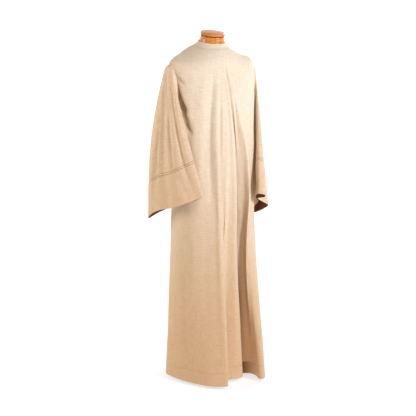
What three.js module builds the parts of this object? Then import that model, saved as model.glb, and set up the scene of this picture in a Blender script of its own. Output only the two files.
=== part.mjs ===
// An alb, the full-length vestment with bell sleeves, on a limbless dress form with a wooden neck.
// Millimetres. +Z is up, the front faces -Y, the wearer's left is +X, and the floor is z = 0.
// Angles go round the form's upright axis from the front, positive towards the wearer's left.

import * as THREE from 'three';

const DEG = Math.PI / 180;

// Driving sizes
const CLOTH = 1.6; // wall of one layer of cloth
const HEM_CLOTH = 2.8; // wall where the hem is turned up
const HEM_TOP_RING = 7.8; // ring number above which the hem is not turned up
const CUFF_CLOTH = 2.2; // wall of the doubled cuff band
const COLLAR_CLOTH = 2.2; // wall of the doubled collar band
const SEAM_GAP = 0.3; // gap between two pieces at a seam
const HEM_Z = 15; // hem above the floor
const UNDERARM_Z = 1185;
const SHOULDER_Z = 1421;
const NECK_Z = 1486; // middle of the neck seam
const NECK_RADIUS = 76;
const NECK_LEAN = 9.5 * DEG; // the neck leans forward
const NECK_RISE = NECK_RADIUS * Math.tan(NECK_LEAN);
// The collar is a low funnel: outer radius and height up from the neck seam.
const COLLAR = [[58.8, 20], [61.8, 14.5], [67.5, 7.5], [75.4, 0]];

// Smooth sections of the body from the neck seam to the hem, before any fold. halfWidth, front and back
// are reaches from the axis, square is the power of the superellipse, and fall says how the ring's height
// runs from the side to the centre front or back.
const RINGS = [
  { name: 'neck', side: NECK_Z, zFront: NECK_Z - NECK_RISE, zBack: NECK_Z + NECK_RISE,
    halfWidth: NECK_RADIUS, front: NECK_RADIUS, back: NECK_RADIUS, square: 2, fall: 1 },
  { name: 'yoke', side: 1453, zFront: 1433, zBack: 1481,
    halfWidth: 133, front: 95, back: 101, square: 2.1, fall: 1.1 },
  { name: 'shoulder', side: SHOULDER_Z, zFront: 1368, zBack: 1412,
    halfWidth: 203, front: 107, back: 115, square: 2.1, fall: 1.4 },
  { name: 'chest', side: 1306, zFront: 1288, zBack: 1296,
    halfWidth: 201, front: 127, back: 120, square: 2.25, fall: 1.6 },
  { name: 'underarm', side: UNDERARM_Z, zFront: UNDERARM_Z, zBack: UNDERARM_Z,
    halfWidth: 193, front: 135, back: 123, square: 2.35, fall: 1 },
  { name: 'waist', side: 1020, zFront: 1020, zBack: 1020,
    halfWidth: 189, front: 142, back: 130, square: 2.3, fall: 1 },
  { name: 'hip', side: 800, zFront: 800, zBack: 800,
    halfWidth: 191, front: 155, back: 143, square: 2.15, fall: 1 },
  { name: 'knee', side: 420, zFront: 420, zBack: 420,
    halfWidth: 207, front: 180, back: 169, square: 2, fall: 1 },
  { name: 'hem', side: HEM_Z, zFront: HEM_Z, zBack: HEM_Z,
    halfWidth: 225, front: 205, back: 196, square: 2, fall: 1 },
];
const SHOULDER_RING = 2;
const UNDERARM_RING = 4;
const HEM_RING = RINGS.length - 1;

// The crests and valleys of the folds, in order round the body. Each row gives the crease's angle in
// degrees and its distance out from the smooth section in millimetres, at four heights.
const CREASE_HEIGHTS = { top: 1400, waist: 1050, thigh: 600, hem: HEM_Z };
const CREASES = [
  { name: 'right back round', top: -112, waist: -112, thigh: -112, hem: -110, outWaist: -3, outThigh: -8, outHem: -8 },
  { name: 'right side', top: -90, waist: -90, thigh: -90, hem: -89, outWaist: -4, outThigh: -12, outHem: -32 },
  { name: 'right flat', top: -69, waist: -69, thigh: -68, hem: -66, outWaist: 0, outThigh: -9, outHem: -36 },
  { name: 'right front flat', top: -49, waist: -51, thigh: -51, hem: -48, outWaist: 2, outThigh: -6, outHem: -23 },
  { name: 'front hollow', top: -33, waist: -36, thigh: -36, hem: -34, outWaist: -5, outThigh: -3, outHem: -5 },
  { name: 'apron swell', top: -19, waist: -22, thigh: -23, hem: -22, outWaist: -7, outThigh: 5, outHem: 7 },
  { name: 'apron crest', top: -9, waist: -9, thigh: -13, hem: -12.5, outWaist: 1, outThigh: 9, outHem: 11 },
  { name: 'apron turn', top: -5, waist: -4, thigh: -11.5, hem: -12, outWaist: 3, outThigh: -3, outHem: -24 },
  { name: 'apron valley', top: -2, waist: 1, thigh: -8, hem: -8, outWaist: 2, outThigh: -15, outHem: -54 },
  { name: 'inner panel left', top: 1, waist: 7.5, thigh: -1, hem: 2, outWaist: 3, outThigh: -14, outHem: -57 },
  { name: 'inner panel', top: 4, waist: 14, thigh: 7, hem: 15, outWaist: 6, outThigh: -6, outHem: -44 },
  { name: 'long crest', top: 7, waist: 18.5, thigh: 13, hem: 26, outWaist: 2, outThigh: -11, outHem: -42 },
  { name: 'long turn', top: 9, waist: 19.5, thigh: 14, hem: 28.5, outWaist: -10, outThigh: -29, outHem: -62 },
  { name: 'long valley', top: 12, waist: 27, thigh: 24, hem: 38.5, outWaist: -22, outThigh: -45, outHem: -70 },
  { name: 'left rise', top: 17, waist: 36, thigh: 34, hem: 43, outWaist: -12, outThigh: -28, outHem: -28 },
  { name: 'left turn', top: 24, waist: 42, thigh: 35, hem: 37, outWaist: -3, outThigh: -8, outHem: 5 },
  { name: 'left crest in', top: 32, waist: 47, thigh: 36, hem: 30.5, outWaist: 2, outThigh: 6, outHem: 30 },
  { name: 'left crest', top: 42, waist: 54, thigh: 43, hem: 33, outWaist: 4, outThigh: 12, outHem: 50 },
  { name: 'left crest out', top: 54, waist: 62, thigh: 54, hem: 43, outWaist: 4, outThigh: 9, outHem: 38 },
  { name: 'left front round', top: 71, waist: 74, thigh: 71, hem: 61, outWaist: 2, outThigh: 4, outHem: 14 },
  { name: 'left side', top: 90, waist: 90, thigh: 88, hem: 82, outWaist: 0, outThigh: -2, outHem: -6 },
  { name: 'left back crest', top: 108, waist: 108, thigh: 106, hem: 103, outWaist: 2, outThigh: 5, outHem: 8 },
  { name: 'left back valley', top: 128, waist: 127, thigh: 126, hem: 126, outWaist: -3, outThigh: -11, outHem: -24 },
  { name: 'back crest left', top: 146, waist: 146, thigh: 147, hem: 148, outWaist: 2, outThigh: 7, outHem: 14 },
  { name: 'back valley left', top: 163, waist: 162, thigh: 163, hem: 166, outWaist: -5, outThigh: -15, outHem: -32 },
  { name: 'centre back', top: 180, waist: 179, thigh: 179, hem: 183, outWaist: 1, outThigh: 3, outHem: 7 },
  { name: 'back valley right', top: 198, waist: 197, thigh: 197, hem: 201, outWaist: -5, outThigh: -14, outHem: -28 },
  { name: 'back crest right', top: 216, waist: 216, thigh: 216, hem: 219, outWaist: 2, outThigh: 6, outHem: 12 },
  { name: 'right back valley', top: 233, waist: 234, thigh: 235, hem: 236, outWaist: -3, outThigh: -12, outHem: -21 },
];
const creaseNumber = (name) => CREASES.findIndex((crease) => crease.name === name);
const RIGHT_SEAM = creaseNumber('right side');
const LEFT_SEAM = creaseNumber('left side');
const BACK_SEAM = creaseNumber('centre back');

// The armhole's half width at its middle, in degrees round the body.
const ARMHOLE = { front: 12, back: 15 };

// The two sleeves hang empty. Each mouth is a flattened loop of sixteen points: from the middle of the
// outer layer to the front corner, back along the body to the back corner, and round again. stand is how
// far the sleeve leaves the armhole before it falls, crown how far its outer layer swells below the
// shoulder, and swellFront and swellBack how far its two edges swell on the way down.
const SLEEVES = [
  { name: 'right', side: -1, stand: 14, crown: 8, swellFront: 4, swellBack: 27,
    mouth: [
      [-230, -28, 803], [-218, -64, 816], [-192, -99, 833], [-160, -127, 850],
      [-132, -144, 862], [-133, -129, 856], [-157, -106, 842], [-186, -65, 827],
      [-198, -14, 810], [-210, 30, 790], [-227, 72, 768], [-242, 104, 747],
      [-252, 117, 737], [-262, 106, 745], [-259, 66, 771], [-243, 18, 792],
    ] },
  { name: 'left', side: 1, stand: 3, crown: 9, swellFront: 8, swellBack: 14,
    mouth: [
      [245, -88, 778], [195, -118, 803], [149, -145, 828], [165, -171, 836],
      [159, -184, 849], [131, -175, 855], [136, -146, 838], [182, -97, 803],
      [208, -38, 774], [224, -2, 752], [240, 24, 733], [252, 38, 722],
      [262, 44, 718], [270, 32, 723], [275, 6, 735], [268, -40, 757],
    ] },
];
const SLEEVE_DRAW = 30 * DEG; // how far the front and back turns of a sleeve are drawn up the armhole
const CUFF_DEPTH = 150;
const CUFF_PROUD = 0.5; // the doubled cuff stands this much outside the sleeve
const SLEEVE_CLEAR = 4; // the sleeve keeps this far off the body

// The dress form: how far its torso lies inside the cloth's inner face on the shoulder ridge and away from it
const FORM = {
  ridgeGap: 0.5,
  // at each ring from the neck to the hip, away from the ridge
  clearance: [0.5, 6, 13, 20, 30, 38, 36],
  poleRadius: 16,
  baseRadius: 116,
  baseHeight: 12,
};
const TORSO_TOP = NECK_Z - 2.4; // the middle of its sloping top
const TORSO_BOTTOM = 800;
const NECK_BLOCK = { height: 49, foot: 55.4, waist: 51.4, spigot: 44, recess: 1.6 };
const NECK_CAP = { radius: 52.8, height: 13, dome: 3 };

// Mesh density
const WIDE_CREASE = 13; // degrees between two creases that take three columns instead of two
const SLEEVE_COLUMNS = 28;
const SLEEVE_ROWS = 8;
const CUFF_ROWS = 3;

const COLOURS = { cloth: 0xe6cba4, wood: 0xe0924a, form: 0xd8cdb8, metal: 0x8c8c8c };

const lerp = (a, b, t) => a + (b - a) * t;
const smooth = (t) => {
  const clamped = Math.min(1, Math.max(0, t));
  return clamped * clamped * (3 - 2 * clamped);
};

// A smooth curve through evenly numbered values, read at a fractional number, level past its ends.
function through(values, at) {
  const last = values.length - 1;
  const t = Math.min(last, Math.max(0, at));
  const i = Math.min(last - 1, Math.floor(t));
  const before = values[Math.max(0, i - 1)];
  const after = values[Math.min(last, i + 2)];
  return hermite(values[i], values[i + 1], (values[i + 1] - before) / 2, (after - values[i]) / 2, t - i);
}

function hermite(a, b, slopeA, slopeB, t) {
  const t2 = t * t;
  const t3 = t2 * t;
  return a * (2 * t3 - 3 * t2 + 1) + b * (3 * t2 - 2 * t3) + slopeA * (t3 - 2 * t2 + t) + slopeB * (t3 - t2);
}

const ringValue = (column, v) => through(RINGS.map((ring) => ring[column]), v);

// Distance of the smooth section from the axis at an angle: a superellipse with its own front and back.
function smoothReach(angle, v) {
  const c = Math.cos(angle);
  const s = Math.sin(angle);
  const depth = ringValue(c > 0 ? 'front' : 'back', v);
  const power = ringValue('square', v);
  const sum = Math.abs(c / depth) ** power + Math.abs(s / ringValue('halfWidth', v)) ** power;
  return sum ** (-1 / power);
}

// Height of the ring at an angle: level with its side height, falling to its front or back height.
function ringHeight(angle, v) {
  const c = Math.cos(angle);
  const end = ringValue(c > 0 ? 'zFront' : 'zBack', v);
  const side = ringValue('side', v);
  return side + (end - side) * Math.abs(c) ** ringValue('fall', v);
}

// How far down a height lies between the crease heights: 0 at the top, 1 waist, 2 thigh, 3 hem.
function creaseLevel(z) {
  const heights = Object.values(CREASE_HEIGHTS);
  if (z >= heights[0]) return 0;
  for (let i = 1; i < heights.length; i++) {
    if (z >= heights[i]) return i - (z - heights[i]) / (heights[i - 1] - heights[i]);
  }
  return heights.length - 1;
}

// Where one crease passes a ring: its angle and its distance out, both smooth down the body.
function creaseSpot(number, v) {
  const crease = CREASES[((number % CREASES.length) + CREASES.length) % CREASES.length];
  const turn = 360 * Math.floor(number / CREASES.length);
  const level = creaseLevel(ringHeight((crease.top + turn) * DEG, v));
  const angle = through([crease.top, crease.waist, crease.thigh, crease.hem], level) + turn;
  const out = through([0, crease.outWaist, crease.outThigh, crease.outHem], level);
  return { angle: angle * DEG, reach: smoothReach(angle * DEG, v) + out };
}

// A point of the cloth's outer face: s counts the creases round the body and v the rings down it.
// Between two creases the section is a Hermite curve in plan.
function bodyPoint(s, v) {
  const i = Math.floor(s);
  const plan = [i - 1, i, i + 1, i + 2].map((number) => {
    const spot = creaseSpot(number, v);
    return [spot.reach * Math.sin(spot.angle), -spot.reach * Math.cos(spot.angle)];
  });
  const [x, y] = [0, 1].map((k) =>
    hermite(plan[1][k], plan[2][k], (plan[2][k] - plan[0][k]) / 2, (plan[3][k] - plan[1][k]) / 2, s - i));
  return new THREE.Vector3(x, y, ringHeight(Math.atan2(x, -y), v));
}

// The crease number whose top angle is the given one: the inverse of the table's first angle column.
function creaseAtTopAngle(degrees) {
  for (let i = RIGHT_SEAM; i < RIGHT_SEAM + CREASES.length; i++) {
    const a = CREASES[i % CREASES.length].top + 360 * Math.floor(i / CREASES.length);
    const b = CREASES[(i + 1) % CREASES.length].top + 360 * Math.floor((i + 1) / CREASES.length);
    if (degrees >= a && degrees <= b) return i + (degrees - a) / (b - a);
  }
  return RIGHT_SEAM;
}

// How open the armhole is at ring v: 0 at the shoulder and the underarm, 1 at its middle.
function armholeOpen(v) {
  const t = (v - (SHOULDER_RING + UNDERARM_RING) / 2) / ((UNDERARM_RING - SHOULDER_RING) / 2);
  return Math.sqrt(Math.max(0, 1 - t * t));
}

// The armhole edge on one side of a side seam: towards is +1 for the edge at larger angles.
function armholeEdge(seamDegrees, towards, v) {
  const isFront = Math.abs(seamDegrees + towards) < 90;
  const half = isFront ? ARMHOLE.front : ARMHOLE.back;
  return creaseAtTopAngle(seamDegrees + towards * half * armholeOpen(v));
}

// The ring number that a turn of the sleeve meets on the armhole. The sleeve's outer layer gathers
// towards the shoulder, so its turns are drawn up from an even spacing.
function armholeLevel(turn) {
  const drawnUp = turn - SLEEVE_DRAW * Math.sin(turn);
  return lerp(SHOULDER_RING, UNDERARM_RING, (1 - Math.cos(drawnUp)) / 2);
}

// The rows that cross the armhole. The sleeve has two columns to each of them.
const ARMHOLE_ROWS = Array.from({ length: SLEEVE_COLUMNS / 4 + 1 }, (_, k) =>
  armholeLevel((k * Math.PI * 4) / SLEEVE_COLUMNS));

// Rows down the body: close together over the shoulders and the armhole, further apart down the skirt.
const BODY_ROWS = [
  0, 0.35, 0.75, 1.15, 1.55, 1.85, ...ARMHOLE_ROWS, 4.35, 4.8, 5.3, 5.8, 6.3, 6.8, 7.3, 7.7, 7.87, HEM_RING,
];

// Direction out of the cloth at a point of the body, from small steps along and down it.
function bodyNormal(s, v) {
  const step = 0.02;
  const across = bodyPoint(s + step, v).sub(bodyPoint(s - step, v));
  const down = bodyPoint(s, Math.min(HEM_RING, v + step)).sub(bodyPoint(s, Math.max(0, v - step)));
  return down.cross(across).normalize();
}

// The columns of a panel: every crease, and one column or two between it and the next.
function panelColumns(fromCrease, toCrease) {
  const marks = [];
  for (let i = fromCrease; i < toCrease; i++) {
    const [a, b] = [CREASES[i % CREASES.length], CREASES[(i + 1) % CREASES.length]];
    const width = Math.max((b.top - a.top + 360) % 360, Math.abs(b.hem - a.hem) % 360);
    const steps = width > WIDE_CREASE ? 3 : 2;
    for (let k = 0; k < steps; k++) marks.push(i + k / steps);
  }
  return [...marks, toCrease];
}

// A panel's outer points and normals between two seams, from the neck to the hem, with its armhole
// edges curved in and half the seam gap left along both sides.
function panelGrid(fromCrease, toCrease, fromSeam, toSeam) {
  const marks = panelColumns(fromCrease, toCrease);
  const columns = marks.length - 1;
  const normals = [];
  const grid = BODY_ROWS.map((v) => {
    const from = fromSeam === null ? fromCrease : armholeEdge(fromSeam, 1, v);
    const to = toSeam === null ? toCrease : armholeEdge(toSeam, -1, v);
    const places = [];
    for (const mark of marks) {
      const u = (mark - fromCrease) / (toCrease - fromCrease);
      places.push(mark + (from - fromCrease) * (1 - u) ** 3 + (to - toCrease) * u ** 3);
    }
    normals.push(places.map((s) => bodyNormal(s, v)));
    const row = places.map((s) => bodyPoint(s, v));
    row[0].add(bodyPoint(places[0] + 0.02, v).sub(row[0]).setLength(SEAM_GAP / 2 + 0.02));
    row[columns].add(bodyPoint(places[columns] - 0.02, v).sub(row[columns]).setLength(SEAM_GAP / 2 + 0.02));
    return row;
  });
  return { grid, normals };
}

// Outward normals of a grid by central differences; wrap joins the last column to the first.
function gridNormals(grid, wrap) {
  const rows = grid.length;
  const columns = grid[0].length;
  return grid.map((row, j) => row.map((_, i) => {
    const left = wrap ? (i + columns - 1) % columns : Math.max(0, i - 1);
    const right = wrap ? (i + 1) % columns : Math.min(columns - 1, i + 1);
    const across = grid[j][right].clone().sub(grid[j][left]).normalize();
    const down = grid[Math.min(rows - 1, j + 1)][i].clone().sub(grid[Math.max(0, j - 1)][i]).normalize();
    return down.cross(across).normalize();
  }));
}

// A closed wall from a grid of outer points. thickness is a function of the row number.
function wall(grid, thickness, wrap, normals = gridNormals(grid, wrap)) {
  const rows = grid.length;
  const columns = grid[0].length;
  const inner = grid.map((row, j) => row.map((p, i) => p.clone().addScaledVector(normals[j][i], -thickness(j))));
  const positions = [...grid.flat(), ...inner.flat()];
  const outerAt = (j, i) => j * columns + (i % columns);
  const innerAt = (j, i) => rows * columns + outerAt(j, i);
  const index = [];
  const quad = (a, b, c, d) => index.push(a, b, c, a, c, d);
  const spans = wrap ? columns : columns - 1;
  for (let j = 0; j < rows - 1; j++) {
    for (let i = 0; i < spans; i++) {
      quad(outerAt(j, i), outerAt(j + 1, i), outerAt(j + 1, i + 1), outerAt(j, i + 1));
      quad(innerAt(j, i), innerAt(j, i + 1), innerAt(j + 1, i + 1), innerAt(j + 1, i));
    }
  }
  for (let i = 0; i < spans; i++) {
    quad(outerAt(0, i), outerAt(0, i + 1), innerAt(0, i + 1), innerAt(0, i));
    quad(outerAt(rows - 1, i + 1), outerAt(rows - 1, i), innerAt(rows - 1, i), innerAt(rows - 1, i + 1));
  }
  if (!wrap) {
    for (let j = 0; j < rows - 1; j++) {
      const last = columns - 1;
      quad(outerAt(j + 1, 0), outerAt(j, 0), innerAt(j, 0), innerAt(j + 1, 0));
      quad(outerAt(j, last), outerAt(j + 1, last), innerAt(j + 1, last), innerAt(j, last));
    }
  }
  return solidFrom(positions, index);
}

function solidFrom(points, index) {
  const geometry = new THREE.BufferGeometry();
  geometry.setAttribute('position', new THREE.Float32BufferAttribute(points.flatMap((p) => [p.x, p.y, p.z]), 3));
  geometry.setIndex(index);
  geometry.computeVertexNormals();
  return geometry;
}

// A closed solid from rings of points, its two ends filled by fans to their middles.
function stackedRings(rings) {
  const columns = rings[0].length;
  const points = rings.flat();
  const index = [];
  for (let j = 0; j < rings.length - 1; j++) {
    for (let i = 0; i < columns; i++) {
      const a = j * columns + i;
      const b = j * columns + ((i + 1) % columns);
      index.push(a, a + columns, b + columns, a, b + columns, b);
    }
  }
  [[0, false], [rings.length - 1, true]].forEach(([j, isBottom]) => {
    const middle = rings[j].reduce((sum, p) => sum.add(p), new THREE.Vector3()).divideScalar(columns);
    points.push(middle);
    for (let i = 0; i < columns; i++) {
      const a = j * columns + i;
      const b = j * columns + ((i + 1) % columns);
      index.push(...(isBottom ? [points.length - 1, b, a] : [points.length - 1, a, b]));
    }
  });
  return solidFrom(points, index);
}

const hemWall = (j) => (BODY_ROWS[j] > HEM_TOP_RING ? HEM_CLOTH : CLOTH);

function panel(fromCrease, toCrease, fromSeam, toSeam) {
  const { grid, normals } = panelGrid(fromCrease, toCrease, fromSeam, toSeam);
  return wall(grid, hemWall, false, normals);
}

const frontPanel = () => panel(RIGHT_SEAM, LEFT_SEAM, -90, 90);
const backPanelLeft = () => panel(LEFT_SEAM, BACK_SEAM, 90, null);
const backPanelRight = () => panel(BACK_SEAM, RIGHT_SEAM + CREASES.length, null, 270);

// The collar: a doubled band that stands on the neck seam and leans with the neck.
function collarBand() {
  const columns = 32;
  const up = new THREE.Vector3(0, -Math.sin(NECK_LEAN), Math.cos(NECK_LEAN));
  const grid = COLLAR.map(([radius, height]) => {
    const row = [];
    for (let i = 0; i < columns; i++) {
      const angle = (i / columns) * 2 * Math.PI;
      const foot = new THREE.Vector3(radius * Math.sin(angle), -radius * Math.cos(angle), NECK_Z + SEAM_GAP + 0.3);
      foot.z -= radius * Math.cos(angle) * Math.tan(NECK_LEAN);
      row.push(foot.addScaledVector(up, height));
    }
    return row;
  });
  return wall(grid, () => COLLAR_CLOTH, true);
}

// The ring of the armhole, read round from the shoulder over the front, the underarm and the back.
function armholePoint(sleeve, turn) {
  const v = armholeLevel(turn);
  const overFront = turn <= Math.PI;
  const seam = sleeve.side > 0 ? 90 : (overFront ? -90 : 270);
  const towards = overFront ? -sleeve.side : sleeve.side;
  return bodyPoint(armholeEdge(seam, towards, v), v);
}

// Keeps a point of the sleeve clear of the body below the underarm, easing it out along its radius.
function clearOfBody(p, share) {
  const v = ringAtSideHeight(p.z);
  const reach = Math.hypot(p.x, p.y);
  const least = smoothReach(Math.atan2(p.x, -p.y), v) + SLEEVE_CLEAR;
  const over = reach - least;
  const ease = 6;
  const eased = over > 4 * ease ? over : ease * Math.log(1 + Math.exp(over / ease));
  const scale = lerp(1, (least + eased) / reach, share);
  return new THREE.Vector3(p.x * scale, p.y * scale, p.z);
}

function ringAtSideHeight(z) {
  let low = 0;
  let high = HEM_RING;
  for (let i = 0; i < 24; i++) {
    const middle = (low + high) / 2;
    if (ringValue('side', middle) > z) low = middle;
    else high = middle;
  }
  return low;
}

// A point of the mouth of the sleeve, on the closed smooth curve through its sixteen points.
function mouthPoint(sleeve, turn) {
  const { mouth } = sleeve;
  const at = (turn / (2 * Math.PI)) * mouth.length;
  const i = Math.floor(at);
  const [a, b, c, d] = [-1, 0, 1, 2].map((k) => mouth[(i + k + 2 * mouth.length) % mouth.length]);
  return new THREE.Vector3(...[0, 1, 2].map((k) => hermite(b[k], c[k], (c[k] - a[k]) / 2, (d[k] - b[k]) / 2, at - i)));
}

// A point of the hanging sleeve: share 0 is the armhole and 1 the mouth.
function sleevePoint(sleeve, turn, share) {
  const outside = Math.max(0, Math.cos(turn));
  const along = Math.sin(turn);
  const p = armholePoint(sleeve, turn).add(new THREE.Vector3(sleeve.side * sleeve.stand, 0, -3 * outside));
  p.lerp(mouthPoint(sleeve, turn), share);
  const edge = along > 0 ? sleeve.swellFront * along : -sleeve.swellBack * along;
  p.x += sleeve.side * (edge * Math.sin(Math.PI * share ** 0.8) + sleeve.crown * outside * Math.sin(Math.PI * share ** 0.85));
  return clearOfBody(p, smooth(share / 0.04));
}

// The share of the way down at which the cuff begins: a fixed depth above the mouth.
function cuffShare(sleeve, turn) {
  return 1 - CUFF_DEPTH / armholePoint(sleeve, turn).distanceTo(mouthPoint(sleeve, turn));
}

// The first ring of the sleeve: the edge of the panels' armhole, drawn in by the seam gap. Every second
// column has no row of the panels to meet, so it lies midway between its neighbours.
function armholeRing(sleeve) {
  const ring = sleeveTurns.map((turn) => armholePoint(sleeve, turn));
  const middle = ring.reduce((sum, p) => sum.add(p), new THREE.Vector3()).divideScalar(ring.length);
  return ring.map((p, i) => {
    const next = ring[(i + 1) % ring.length];
    const edge = i % 2 ? ring[i - 1].clone().lerp(next, 0.5) : p;
    const inward = new THREE.Vector3(0, middle.y - p.y, middle.z - p.z).setLength(SEAM_GAP + 0.2);
    return edge.clone().add(inward);
  });
}

const sleeveTurns = Array.from({ length: SLEEVE_COLUMNS }, (_, i) => (i / SLEEVE_COLUMNS) * 2 * Math.PI);
const sameWayRound = (sleeve, ring) => (sleeve.side > 0 ? ring.slice().reverse() : ring);

// One ring of the sleeve and its outward normals; shareAt gives each column's share of the way down.
function sleeveRing(sleeve, shareAt) {
  const points = sleeveTurns.map((turn) => sleevePoint(sleeve, turn, shareAt(turn)));
  const normals = sleeveTurns.map((turn, i) => {
    const share = shareAt(turn);
    const next = points[(i + 1) % points.length];
    const last = points[(i + points.length - 1) % points.length];
    const down = sleevePoint(sleeve, turn, Math.min(1, share + 0.01)).sub(sleevePoint(sleeve, turn, share - 0.01));
    return down.cross(next.clone().sub(last)).multiplyScalar(-sleeve.side).normalize();
  });
  return { points: sameWayRound(sleeve, points), normals: sameWayRound(sleeve, normals) };
}

function sleeveTube(sleeve) {
  const start = sameWayRound(sleeve, armholeRing(sleeve));
  const stand = start.map((p) => p.clone().add(new THREE.Vector3(sleeve.side * sleeve.stand * 0.6, 0, 0)));
  const rings = [];
  for (let j = 0; j <= SLEEVE_ROWS; j++) {
    const part = (j / SLEEVE_ROWS) ** 1.2;
    rings.push(sleeveRing(sleeve, (turn) => lerp(0.025, cuffShare(sleeve, turn), part)));
  }
  const grid = [start, stand, ...rings.map((ring) => ring.points)];
  const loose = gridNormals(grid, true);
  return wall(grid, () => CLOTH, true, [loose[0], loose[1], ...rings.map((ring) => ring.normals)]);
}

// The cuff: a doubled band seamed to the end of the sleeve.
function cuffBand(sleeve) {
  const gap = (SEAM_GAP + 0.5) / CUFF_DEPTH;
  const rings = [];
  for (let j = 0; j <= CUFF_ROWS; j++) {
    const part = lerp(gap, 1, j / CUFF_ROWS);
    rings.push(sleeveRing(sleeve, (turn) => lerp(cuffShare(sleeve, turn), 1, part)));
  }
  const grid = rings.map((ring) => ring.points.map((p, i) => p.addScaledVector(ring.normals[i], CUFF_PROUD)));
  return wall(grid, () => CUFF_CLOTH, true, rings.map((ring) => ring.normals));
}

// The torso of the dress form: the smooth body drawn in, closest to the cloth along the shoulder ridge.
// Its top is cut on the slope of the neck seam and its bottom is level.
function formTorso() {
  const angles = [];
  for (let i = RIGHT_SEAM; i < RIGHT_SEAM + CREASES.length; i++) {
    angles.push((CREASES[i % CREASES.length].top + 360 * Math.floor(i / CREASES.length)) * DEG);
  }
  const rows = [0, 0.35, 0.75, 1.15, 1.55, 1.85, 2.02, 2.33, 2.7, 3.1, 3.8, 4.5, 5.2, 6];
  const outer = rows.map((v) => angles.map((angle) => {
    const reach = smoothReach(angle, v);
    return new THREE.Vector3(reach * Math.sin(angle), -reach * Math.cos(angle), ringHeight(angle, v));
  }));
  const normals = gridNormals(outer, true);
  const drawn = outer.map((row, j) => row.map((p, i) => {
    const offRidge = 1 - Math.abs(Math.sin(angles[i])) ** 6;
    const belowShoulder = smooth((rows[j] - SHOULDER_RING) * 1.5);
    const share = Math.max(offRidge, belowShoulder);
    const gap = lerp(FORM.ridgeGap, through(FORM.clearance, rows[j]), share);
    return p.clone().addScaledVector(normals[j][i], -(CLOTH + gap));
  }));
  for (const p of drawn[0]) p.z = TORSO_TOP + p.y * Math.tan(NECK_LEAN);
  for (const p of drawn[rows.length - 1]) p.z = TORSO_BOTTOM;
  return stackedRings(drawn);
}

// The turned neck block that shows between the collar and the cap, with a spigot for the cap.
function neckBlock() {
  const { height, foot, waist, spigot, recess } = NECK_BLOCK;
  const outline = [[0, 0], [foot, 0], [foot, 21], [foot - 1.6, 24], [waist + 0.9, 31], [waist, 39],
    [waist, height], [spigot, height], [spigot, height + recess], [0, height + recess]];
  return turned(outline);
}

function neckCap() {
  const { radius, height, dome } = NECK_CAP;
  const outline = [[0, 0], [radius - 1.5, 0], [radius, 1.5], [radius, height - 3], [radius - 3, height],
    [radius * 0.66, height + dome * 0.7], [radius * 0.33, height + dome * 0.95], [0, height + dome]];
  return turned(outline);
}

// A solid turned about its own Z axis from an outline of radius and height pairs.
function turned(outline, segments = 36) {
  const geometry = new THREE.LatheGeometry(outline.map(([r, z]) => new THREE.Vector2(r, z)), segments);
  geometry.rotateX(Math.PI / 2);
  return geometry;
}

const material = (name, roughness, metalness) =>
  new THREE.MeshStandardMaterial({ name, color: COLOURS[name], roughness, metalness });
const CLOTH_MATERIAL = material('cloth', 0.9, 0);
const WOOD_MATERIAL = material('wood', 0.45, 0);
const FORM_MATERIAL = material('form', 0.85, 0);
const METAL_MATERIAL = material('metal', 0.4, 0.8);

function part(name, geometry, surface) {
  const mesh = new THREE.Mesh(geometry, surface);
  mesh.name = name;
  return mesh;
}

const alb = new THREE.Group();
alb.add(part('front_panel', frontPanel(), CLOTH_MATERIAL));
alb.add(part('back_panel_left', backPanelLeft(), CLOTH_MATERIAL));
alb.add(part('back_panel_right', backPanelRight(), CLOTH_MATERIAL));
alb.add(part('collar_band', collarBand(), CLOTH_MATERIAL));
for (const sleeve of SLEEVES) {
  alb.add(part(`sleeve_${sleeve.name}`, sleeveTube(sleeve), CLOTH_MATERIAL));
  alb.add(part(`cuff_${sleeve.name}`, cuffBand(sleeve), CLOTH_MATERIAL));
}

// The neck stands on the torso's sloping top, and the cap sits on the neck block's spigot.
const neck = new THREE.Group();
neck.position.set(0, 0, TORSO_TOP + SEAM_GAP);
neck.rotation.x = NECK_LEAN;
neck.add(part('form_neck_block', neckBlock(), WOOD_MATERIAL));
const cap = part('form_neck_cap', neckCap(), WOOD_MATERIAL);
cap.position.z = NECK_BLOCK.height + NECK_BLOCK.recess + SEAM_GAP;
neck.add(cap);

const form = new THREE.Group();
form.add(part('form_torso', formTorso(), FORM_MATERIAL));
form.add(neck);

const poleFoot = FORM.baseHeight + SEAM_GAP;
const poleTop = TORSO_BOTTOM - SEAM_GAP;
const poleGeometry = new THREE.CylinderGeometry(FORM.poleRadius, FORM.poleRadius, poleTop - poleFoot, 24);
poleGeometry.rotateX(Math.PI / 2);
const pole = part('form_pole', poleGeometry, METAL_MATERIAL);
pole.position.z = (poleFoot + poleTop) / 2;
form.add(pole);

const baseGeometry = new THREE.CylinderGeometry(FORM.baseRadius - 3, FORM.baseRadius, FORM.baseHeight, 48);
baseGeometry.rotateX(Math.PI / 2);
const base = part('form_base', baseGeometry, METAL_MATERIAL);
base.position.z = FORM.baseHeight / 2;
form.add(base);

const model = new THREE.Group();
model.add(alb, form);

export default model;
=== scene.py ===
"""An alb, the full-length linen vestment with bell sleeves, on a limbless dress form with a wooden neck.

Sizes are in millimetres and meshes in metres. +Z is up, the front faces -Y, the wearer's left is +X,
and the floor is z = 0. Angles go round the upright axis from the front, positive to the wearer's left.
"""

import logging
import math
from dataclasses import dataclass
from enum import Enum

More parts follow.
